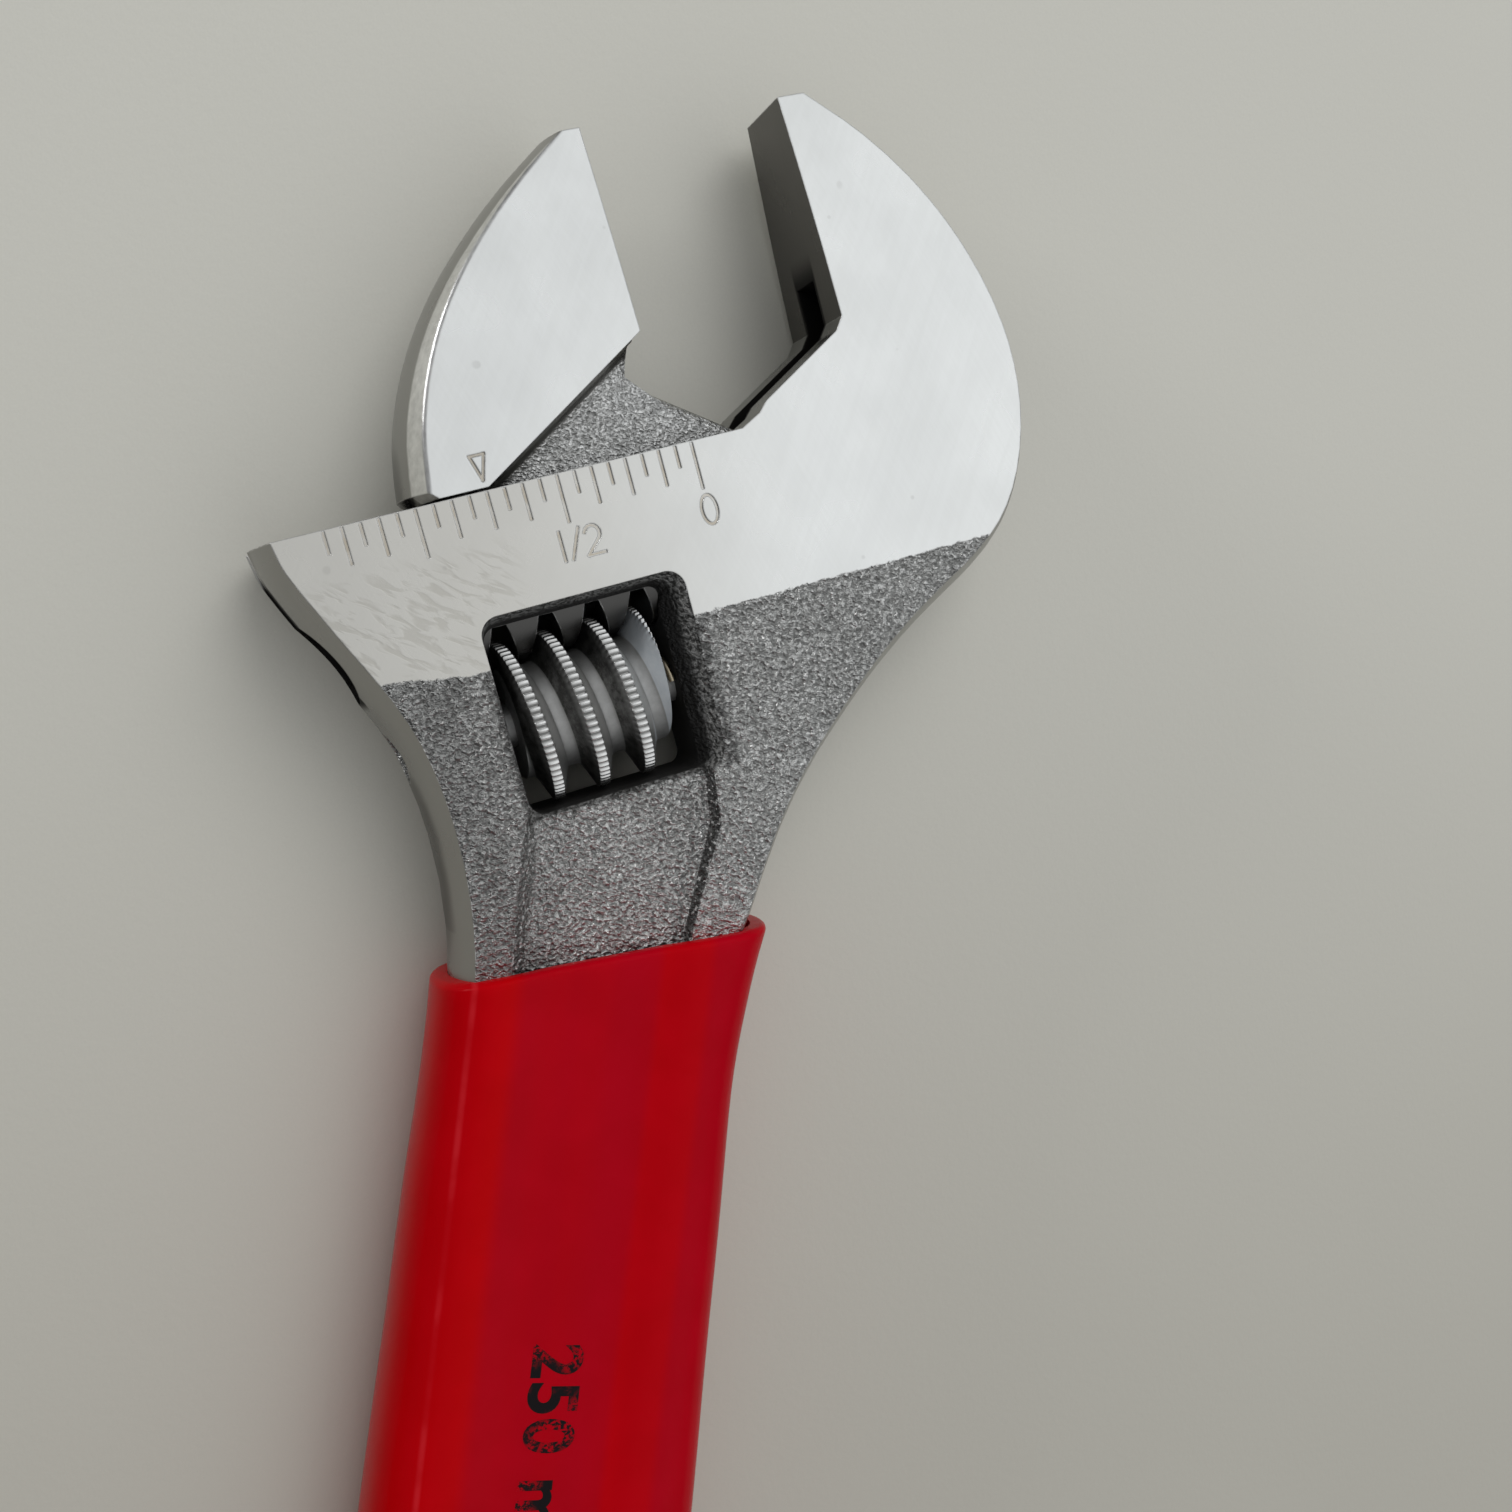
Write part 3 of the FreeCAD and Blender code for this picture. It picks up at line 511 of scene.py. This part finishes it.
def jaw_chrome(name):
    """The movable jaw's chromed forging: a ground jaw, a pebbled web and a dark rack."""
    r = Recipe(name)
    upward = r.absolute(r.part(r.facing, 2))
    broad = r.fade(upward, 0.9, 0.95)
    height = r.absolute(r.z)
    ground = r.times(r.fade(height, WEB_LEVEL, WEB_LEVEL + 0.8 * MM), broad)
    pebbled = r.times(r.without(r.fade(upward, 0.50, 0.54), ground),
                      r.fade(height, WEB_LEVEL, WEB_LEVEL - 0.6 * MM))
    peel, tint = pebbles(r, 0.34 * MM)
    fine, clouds, nicks = ground_finish(r)
    rounded = r.soft_edges(0.2 * MM)
    smooth_normal = r.relief(fine, 0.006 * MM, rounded)
    rough_normal = r.relief(peel, 0.34 * MM, r.soft_edges(0.7 * MM))

    bright = r.blend(r.times(nicks, 0.2), plate_colour(r, fine, clouds), NICK)
    colour = r.blend(broad, wall_colour(r, clouds), bright)
    colour = r.blend(pebbled, colour, r.blend(r.fade(tint, 0.1, 0.8), *JAW_SKIN))
    colour = r.blend(r.fade(r.y, RACK_TOP, RACK_TOP - 1.0 * MM), colour, RACK_DARK)
    colour = r.blend(r.times(pointer_lines(r, height), 0.8), colour, POINTER_FILL)
    # Painted highlight along the edges.
    colour = edge_highlights(r, r.edge_mask(rounded), colour)
    # Painted glint along the jaw's rounded outer edge.
    fillet_glint = r.times(r.within(upward, 0.25, 0.93, 0.04), r.fade(height, 4.2 * MM, 4.6 * MM))
    colour = r.blend(fillet_glint, colour, r.blend(r.noise(0.7 * MM, 3.0), *JAW_EDGE_GLINT))
    r.set(Base_Color=colour, Roughness=chrome_roughness(r, pebbled, clouds, tint, 0.0),
          Normal=r.mix_normals(pebbled, smooth_normal, rough_normal), Metallic=1.0)
    return r.material


def worm_steel(name):
    """Hardened steel, black on the flanks and rubbed bright on the crests and in the root, with
    painted light on the flanks that face right and a painted reflection on the plain last turn.
    """
    r = Recipe(name)
    centre = (Vector(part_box("worm")[0]) + Vector(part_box("worm")[1])) / 2
    radius = r.length(r.minus(r.y, centre.y), r.minus(r.z, centre.z))
    crest = r.fade(radius, WORM_RADIUS - 0.32 * MM, WORM_RADIUS - 0.06 * MM)
    shoulder = r.fade(radius, WORM_RADIUS - 1.1 * MM, WORM_RADIUS - 0.5 * MM)
    root = r.fade(radius, WORM_ROOT + 0.22 * MM, WORM_ROOT + 0.10 * MM)
    last_turn = r.fade(r.x, WORM_END - 0.5 * MM, WORM_END)
    turned_right = r.fade(r.part(r.facing, 0), 0.3, 0.7)
    stain = r.noise(1.2 * MM, 5.0, 0.65)
    specks = r.fade(r.noise(0.35 * MM, 3.0, 0.7), 0.55, 0.7)
    turning = r.noise(0.22 * MM, 2.0, 0.5, 0.0, r.stretched((1.0, 0.12, 0.12)))

    colour = r.blend(r.fade(stain, 0.35, 0.7), *WORM_FLANK)
    colour = r.blend(r.times(specks, 0.5), colour, WORM_SPECKS)
    colour = r.blend(r.times(shoulder, 0.6), colour, WORM_SHOULDER)
    # Painted light on the flanks that face right.
    colour = r.blend(turned_right, colour, WORM_RIGHT_FLANK_PAINTED_LIGHT)
    # Painted reflection on the plain last turn.
    colour = r.blend(last_turn, colour, r.blend(stain, *WORM_LAST_TURN_PAINTED_REFLECTION))
    colour = r.blend(root, colour, r.blend(stain, *WORM_FLOOR))
    colour = r.blend(crest, colour, WORM_RUBBED)
    roughness = r.mix(last_turn, r.mix(root, 0.42, 0.56), 0.65)
    height = r.plus(r.times(turning, 0.5), r.times(stain, 0.5))
    r.set(Base_Color=colour, Roughness=r.mix(crest, roughness, 0.27),
          Normal=r.relief(height, 0.02 * MM, r.soft_edges(0.06 * MM)), Metallic=1.0)
    return r.material


def spring_wire(name):
    r = Recipe(name)
    stain = r.noise(0.8 * MM, 3.0)
    r.set(Base_Color=r.blend(stain, *SPRING), Roughness=r.fade(stain, 0.3, 0.7, 0.25, 0.4),
          Normal=r.relief(r.noise(0.2 * MM), 0.004 * MM), Metallic=1.0)
    return r.material


def vinyl(name, is_print):
    """Dipped vinyl with a faint skin texture, bands of painted reflection and a painted highlight
    line; the print on it is black, worn and matt.
    """
    r = Recipe(name)
    mottle = r.noise(5 * MM, 3.0)
    skin = r.noise(0.35 * MM, 3.0, 0.6)
    runs = r.noise(7 * MM, 2.0, 0.5, 0.0, r.stretched((1.0, 0.05, 1.0), HANDLE_TURN))
    across = r.across_handle()
    # Painted reflection: the bands, and the streaks of the runs, take the lit copy of the vinyl.
    reflection_bands = r.plus(r.fade(across, *LEFT_BAND, 0.0, 0.6),
                   r.times(r.within(across, *RIGHT_BAND, 1.2 * MM), 0.5))
    streaks = r.times(r.fade(runs, 0.4, 0.65), 0.2)
    blotch = r.fade(mottle, 0.3, 0.7)
    colour = r.blend(r.math("MINIMUM", r.plus(streaks, reflection_bands), 1.0),
                     r.blend(blotch, *VINYL_DEEP), r.blend(blotch, *VINYL_LIT))
    # Painted highlight line down the left shoulder.
    crease_highlight = r.times(r.within(across, *CREASE, 0.35 * MM),
                     r.fade(mottle, 0.35, 0.65, 0.05, 0.32))
    colour = r.blend(crease_highlight, colour, VINYL_CREASE_HIGHLIGHT)
    roughness = r.fade(mottle, 0.3, 0.7, 0.17, 0.23)
    if is_print:
        worn = r.fade(r.noise(0.5 * MM, 4.0, 0.7, 0.4), 0.46, 0.56)
        patchy = r.fade(r.noise(4.0 * MM, 2.0), 0.42, 0.62)
        colour = r.blend(r.times(worn, patchy), INK, colour)
        roughness = 0.42
    r.set(Base_Color=colour, Roughness=roughness,
          Normal=r.relief(r.plus(r.times(skin, 0.05), runs), 0.10 * MM),
          Specular_IOR_Level=0.035)
    return r.material


def pale_floor(name):
    """A plain pale top with painted shade: a little darker and warmer towards the foot of the
    picture.
    """
    r = Recipe(name)
    up_the_picture = r.part(r.stretched((1.0, 1.0, 1.0), CAMERA_ROLL), 1)
    far = r.blend(r.noise(70 * MM, 4.0), *FLOOR_FAR)
    near = r.blend(r.noise(50 * MM, 4.0), *FLOOR_NEAR)
    tone = r.blend(r.fade(up_the_picture, 0.0, -150 * MM), far, near)
    tone = r.blend(r.times(r.noise(0.25 * MM, 2.0), 0.16), tone, FLOOR_GRAIN)
    r.set(Base_Color=tone, Roughness=0.5, Normal=r.relief(r.noise(0.9 * MM, 3.0), 0.03 * MM))
    return r.material


# ---- meshes ------------------------------------------------------------------------------
def new_piece(name, mesh_data, material, body, replaced):
    """An object that rides on a body, in place of a CAD node if one is named."""
    piece = bpy.data.objects.new(name, mesh_data)
    bpy.context.scene.collection.objects.link(piece)
    piece.data.materials.clear()
    piece.data.materials.append(material)
    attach(piece, body)
    if replaced:
        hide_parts(replaced)


def smoothed(mesh, smooth_below=None):
    """The mesh smooth shaded; edges that turn by more than smooth_below degrees stay sharp."""
    for polygon in mesh.polygons:
        polygon.use_smooth = True
    if smooth_below:
        mesh.set_sharp_from_angle(angle=math.radians(smooth_below))
    return mesh


def mesh_of(bm, name, smooth_below=None):
    mesh = bpy.data.meshes.new(name)
    bmesh.ops.recalc_face_normals(bm, faces=bm.faces)
    bm.to_mesh(mesh)
    bm.free()
    return smoothed(mesh, smooth_below)


def thread_profile():
    """The worm along one pitch, as (share of the pitch, radius, share of the knurl)."""
    half_crest = CREST_WIDTH / 2 / PITCH
    half_foot = half_crest + FLANK_WIDTH / PITCH
    depth = WORM_RADIUS - WORM_ROOT
    right = [(0.0, WORM_RADIUS, 1.0), (half_crest * CREST_FLAT, WORM_RADIUS, 1.0)]
    for share, drop, knurl in FLANK_CURVE:
        place = half_crest + (half_foot - half_crest) * share
        right.append((place, WORM_RADIUS - depth * drop, knurl))
    right.append((half_foot * FOOT_REACH, WORM_ROOT, 0.0))
    right.append((0.5, WORM_ROOT, 0.0))
    left = [(-share, radius, knurl) for share, radius, knurl in reversed(right[1:])]
    return left + right[:-1]


def worm_mesh():
    """The worm as one skin along its helix, cut square at both ends, with bore and pocket."""
    low, high = (Vector(corner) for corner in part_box("worm"))
    axis_y = (low.y + high.y) / 2
    steps = KNURLS * STEPS_PER_KNURL
    bm = bmesh.new()
    rows = []
    for turn in TURNS:
        for share, radius, knurl in thread_profile():
            row = []
            for step in range(steps + 1):
                # The angle runs from +Z towards -Y, the right-hand way about +X.
                angle = 2 * math.pi * step / steps
                x = WORM_CREST + PITCH * (turn + share + angle / (2 * math.pi))
                notch = (0.5 - 0.5 * math.cos(angle * KNURLS)) ** KNURL_SHARPNESS
                r = radius - KNURL_DEPTH * knurl * notch
                row.append(bm.verts.new((x, axis_y - r * math.sin(angle), r * math.cos(angle))))
            rows.append(row)
    for upper, lower in zip(rows[:-1], rows[1:]):
        for i in range(steps):
            bm.faces.new((upper[i], lower[i], lower[i + 1], upper[i + 1]))
    bmesh.ops.remove_doubles(bm, verts=bm.verts, dist=0.002 * MM)
    for place, outward in ((low.x, -1), (high.x, 1)):
        bmesh.ops.bisect_plane(bm, geom=bm.verts[:] + bm.edges[:] + bm.faces[:],
                               plane_co=(place, 0, 0), plane_no=(outward, 0, 0),
                               clear_outer=True)
    add_worm_ends(bm, low.x, high.x, axis_y)
    return mesh_of(bm, "worm_knurled", smooth_below=40)


def ring(bm, x, radius, axis_y):
    """A circle of vertices about the worm's axis."""
    verts = []
    for step in range(CIRCLE_STEPS):
        angle = 2 * math.pi * step / CIRCLE_STEPS
        verts.append(bm.verts.new((x, axis_y - radius * math.sin(angle),
                                   radius * math.cos(angle))))
    return verts


def join_rings(bm, a, b):
    """A band of faces between two closed loops of as many vertices."""
    for i in range(len(a)):
        bm.faces.new((a[i - 1], a[i], b[i], b[i - 1]))


def add_worm_ends(bm, left, right, axis_y):
    """Both end faces, with the bore for the pin and the pocket for the spring."""
    rims = {}
    for place in (left, right):
        rims[place] = [edge for edge in bm.edges if edge.is_boundary
                       and all(abs(v.co.x - place) < 0.01 * MM for v in edge.verts)]
    bore_left = ring(bm, left, WORM_BORE, axis_y)
    bore_right = ring(bm, right - POCKET_DEPTH, WORM_BORE, axis_y)
    pocket_floor = ring(bm, right - POCKET_DEPTH, POCKET_RADIUS, axis_y)
    pocket_mouth = ring(bm, right, POCKET_RADIUS, axis_y)
    rings = (bore_left, bore_right, pocket_floor, pocket_mouth)
    for a, b in zip(rings[:-1], rings[1:]):
        join_rings(bm, a, b)
    for rim, inner in ((rims[left], bore_left), (rims[right], pocket_mouth)):
        members = set(inner)
        inner_edges = [edge for edge in bm.edges
                       if edge.verts[0] in members and edge.verts[1] in members]
        bmesh.ops.triangle_fill(bm, edges=rim + inner_edges, use_beauty=True)


def eased(points, value):
    """The size at a place, from (place, size) pairs with a smooth step between each two."""
    if value <= points[0][0]:
        return points[0][1]
    for (a, low), (b, high) in zip(points[:-1], points[1:]):
        if value <= b:
            share = (value - a) / (b - a)
            return low + (high - low) * share * share * (3 - 2 * share)
    return points[-1][1]


def grip_half_width(side, s):
    """Half width of the grip's right (1) or left (-1) side, s metres down the handle."""
    widths = RIGHT_WIDTHS if side > 0 else LEFT_WIDTHS
    samples = [eased(widths, (s / MM) + shift) for shift in WIDTH_BLUR]
    return sum(samples) / len(samples) * MM


def grip_station(level, inset):
    """One loop round the grip. Level runs from its mouth to its end; inset shrinks the loop.

    The loop is made of quarters, each from the middle of a broad face out to the side.
    """
    arc_start = GRIP_END - GRIP_WIDE
    tilt = LIP_TILT * max(0.0, 1.0 - max(0.0, level - LIP_LEVEL) / LIP_REACH) ** 1.5
    turn = min(1.0, max(0.0, (level - arc_start) / GRIP_WIDE)) * math.pi / 2
    groove = 1.0 - eased(CHANNEL_ENDS, level / MM)

    def edge(side, depth):
        """Where the side's outline is, that many millimetres in: down and across the handle."""
        depth = depth * MM + inset
        if turn > 0:
            reach = max(0.0, GRIP_WIDE - depth)
            return arc_start + reach * math.sin(turn), side * reach * math.cos(turn)
        t = side * (grip_half_width(side, level - tilt * side * GRIP_WIDE) - depth)
        return level - tilt * t, t

    quarters = []
    top = GRIP_HALF - inset
    for side, order, sign in ((1, 1, 1), (1, -1, -1), (-1, 1, -1), (-1, -1, 1)):
        shoulder = []
        for height, depth in SHOULDER + [(0.0, 0.0)]:
            s, t = edge(side, depth)
            z = max(0.0, height * MM - inset * height * MM / GRIP_HALF)
            shoulder.append((s, t, sign * z))
        across = []
        inner_s, inner_t = edge(side, SHOULDER[0][1])
        for distance, depth in CHANNEL:
            t = side * min(distance * MM, abs(inner_t) * CHANNEL_SHARE * distance / CHANNEL[-1][0])
            s = level - tilt * t if turn == 0 else inner_s
            across.append((s, t, sign * (top - depth * MM * groove)))
        quarter = across + shoulder
        quarters.append(quarter if order == 1 else quarter[::-1])
    points = quarters[0] + quarters[1][1:] + quarters[2][1:] + quarters[3][1:-1]
    return [HANDLE_PLACE + ALONG * s + ACROSS * t + Vector((0, 0, z)) for s, t, z in points]


def grip_solid(inset, mouth, rim):
    """A closed solid of the grip's outside, shrunk by inset, from the mouth level down.

    Rim is the radius of the mouth's rounded edge, or 0 for a sharp one.
    """
    stations = []
    for step in range(LIP_STEPS if rim else 0, -1, -1):
        turn = math.pi / 2 * step / LIP_STEPS
        stations.append((mouth + rim * (1 - math.sin(turn)), inset + rim * (1 - math.cos(turn))))
    arc_start = GRIP_END - GRIP_WIDE
    start = mouth + rim
    for step in range(1, BODY_STEPS + 1):
        share = (step / BODY_STEPS) ** BODY_BUNCHING
        stations.append((start + (arc_start - start) * share, inset))
    for step in range(1, END_STEPS + 1):
        stations.append((arc_start + GRIP_WIDE * step / END_STEPS, inset))
    bm = bmesh.new()
    loops = [[bm.verts.new(p) for p in grip_station(level, depth)] for level, depth in stations]
    for a, b in zip(loops[:-1], loops[1:]):
        join_rings(bm, a, b)
    bm.faces.new(loops[0])
    bmesh.ops.remove_doubles(bm, verts=bm.verts, dist=0.003 * MM)
    bmesh.ops.dissolve_degenerate(bm, edges=bm.edges, dist=0.001 * MM)
    return mesh_of(bm, "grip_solid")


def drum(radius):
    """A cutter for the hanging hole."""
    bm = bmesh.new()
    bmesh.ops.create_cone(bm, cap_ends=True, segments=CIRCLE_STEPS, radius1=radius,
                          radius2=radius, depth=2 * CUTTER_HALF)
    centre = HANDLE_PLACE + ALONG * HANG_HOLE_PLACE
    bmesh.ops.translate(bm, verts=bm.verts, vec=centre)
    return mesh_of(bm, "drum")


def carved(mesh, cutters):
    """The mesh with the cutters' meshes taken away."""
    piece = bpy.data.objects.new("carved", mesh)
    bpy.context.scene.collection.objects.link(piece)
    helpers = []
    for cutter in cutters:
        helper = bpy.data.objects.new("cutter", cutter)
        bpy.context.scene.collection.objects.link(helper)
        helpers.append(helper)
        modifier = piece.modifiers.new("cut", "BOOLEAN")
        modifier.operation = "DIFFERENCE"
        modifier.solver = "EXACT"
        modifier.object = helper
    bpy.context.view_layer.update()
    graph = bpy.context.evaluated_depsgraph_get()
    result = bpy.data.meshes.new_from_object(piece.evaluated_get(graph))
    for helper in helpers + [piece]:
        bpy.data.objects.remove(helper)
    return result


def grip_mesh():
    """The hollow sleeve; round the hanging hole it is solid out to the hole in the steel."""
    outside = grip_solid(0.0, LIP_LEVEL, LIP_ROUND)
    inside = grip_solid(GRIP_WALL, LIP_LEVEL - MOUTH_CLEARANCE, 0)
    inside = carved(inside, [drum(HANG_HOLE_STEEL)])
    return smoothed(carved(outside, [inside, drum(HANG_HOLE)]), smooth_below=38)


def print_mesh():
    """The size in millimetres, printed down the grip, as a skin just proud of the vinyl."""
    curve = bpy.data.curves.new("print", "FONT")
    curve.body = PRINT_TEXT
    curve.size = PRINT_SIZE
    curve.space_character = PRINT_SPACING
    curve.offset = PRINT_WEIGHT
    curve.resolution_u = 6
    writer = bpy.data.objects.new("print", curve)
    bpy.context.scene.collection.objects.link(writer)
    bpy.context.view_layer.update()
    graph = bpy.context.evaluated_depsgraph_get()
    mesh = bpy.data.meshes.new_from_object(writer.evaluated_get(graph))
    bpy.data.objects.remove(writer)
    bm = bmesh.new()
    bm.from_mesh(mesh)
    bmesh.ops.remove_doubles(bm, verts=bm.verts, dist=0.001 * MM)
    left = min(v.co.x for v in bm.verts)
    foot = Vector((0, 0, GRIP_HALF - CHANNEL[0][1] * MM - PRINT_SUNK))
    for vert in bm.verts:
        s = PRINT_START + vert.co.x - left
        t = PRINT_BASE + vert.co.y
        vert.co = HANDLE_PLACE + ALONG * s + ACROSS * t + foot
    skin = bmesh.ops.extrude_face_region(bm, geom=bm.faces[:])
    raised = [item for item in skin["geom"] if isinstance(item, bmesh.types.BMVert)]
    bmesh.ops.translate(bm, verts=raised, vec=(0, 0, PRINT_THICK))
    return mesh_of(bm, "grip_print", smooth_below=30)


# ---- the wrench --------------------------------------------------------------------------
def dress(name, material):
    """Give a CAD node its material."""
    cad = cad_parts[name]
    cad.data.materials.clear()
    cad.data.materials.append(material)


def build_wrench():
    dress("wrench_body", body_chrome("body_chrome"))
    dress("movable_jaw", jaw_chrome("jaw_chrome"))
    steel = worm_steel("worm_steel_look")
    dress("worm_pin", steel)
    dress("worm_spring", spring_wire("spring_look"))
    new_piece("worm_knurled", worm_mesh(), steel, "worm_wheel", "worm")
    new_piece("grip_sleeve", grip_mesh(), vinyl("vinyl_look", False), "handle", "grip")
    new_piece("grip_print", print_mesh(), vinyl("print_look", True), "handle", None)


# ---- studio ------------------------------------------------------------------------------
def area_light(name, place, target, size, power, in_reflections):
    data = bpy.data.lights.new(name, "AREA")
    data.shape = "RECTANGLE"
    data.size = size[0]
    data.size_y = size[1]
    data.energy = power
    lamp = bpy.data.objects.new(name, data)
    lamp.location = place
    lamp.visible_glossy = in_reflections
    lamp.rotation_euler = (Vector(target) - Vector(place)).to_track_quat("-Z", "Y").to_euler()
    bpy.context.scene.collection.objects.link(lamp)


def build_floor():
    floor_mesh = bpy.data.meshes.new("floor")
    bm = bmesh.new()
    bmesh.ops.create_grid(bm, x_segments=1, y_segments=1, size=FLOOR_HALF)
    bm.to_mesh(floor_mesh)
    bm.free()
    floor = bpy.data.objects.new("floor", floor_mesh)
    floor.location = (0, 0, CAD_BOX[0][2])
    floor_mesh.materials.append(pale_floor("floor_look"))
    bpy.context.scene.collection.objects.link(floor)


def build_room():
    """A bright ceiling that dims towards the horizon and towards the left."""
    world = bpy.data.worlds.new("room")
    bpy.context.scene.world = world
    world.use_nodes = True
    tree = world.node_tree
    background = tree.nodes["Background"]
    coords = tree.nodes.new("ShaderNodeTexCoord")
    split = tree.nodes.new("ShaderNodeSeparateXYZ")
    tree.links.new(coords.outputs["Generated"], split.inputs[0])

    def ramp(socket, low, high, to_low, to_high):
        fade = tree.nodes.new("ShaderNodeMapRange")
        fade.interpolation_type = "SMOOTHSTEP"
        for key, value in (("From Min", low), ("From Max", high), ("To Min", to_low),
                           ("To Max", to_high)):
            fade.inputs[key].default_value = value
        tree.links.new(socket, fade.inputs["Value"])
        return fade.outputs[0]

    height = ramp(split.outputs[2], *SKY_HEIGHT)
    side = ramp(split.outputs[0], *SKY_SIDE)
    product = tree.nodes.new("ShaderNodeMath")
    product.operation = "MULTIPLY"
    tree.links.new(height, product.inputs[0])
    tree.links.new(side, product.inputs[1])
    tree.links.new(product.outputs[0], background.inputs["Strength"])
    background.inputs["Color"].default_value = (*SKY, 1.0)


def build_camera():
    data = bpy.data.cameras.new("camera")
    data.lens = CAMERA_LENS
    data.sensor_width = SENSOR
    data.clip_start = 0.01
    camera = bpy.data.objects.new("camera", data)
    ahead = (CAMERA_TARGET - CAMERA_PLACE).normalized()
    level = Vector((0, 1, 0))
    level = (level - ahead * level.dot(ahead)).normalized()
    up = Matrix.Rotation(math.radians(CAMERA_ROLL), 3, ahead) @ level
    turn = Matrix((ahead.cross(up), up, -ahead)).transposed()
    camera.matrix_world = Matrix.Translation(CAMERA_PLACE) @ turn.to_4x4()
    bpy.context.scene.collection.objects.link(camera)
    bpy.context.scene.camera = camera


build_camera()
build_floor()
build_room()
area_light("window", place=(0.28, 0.42, 0.62), target=(0, -0.03, 0), size=(0.5, 0.5), power=1.7,
           in_reflections=False)
area_light("strip", place=(-0.55, 0.52, 0.20), target=(-0.03, -0.01, 0), size=(0.30, 0.12),
           power=1.1, in_reflections=True)
build_wrench()
bpy.context.scene.view_settings.view_transform = "Standard"
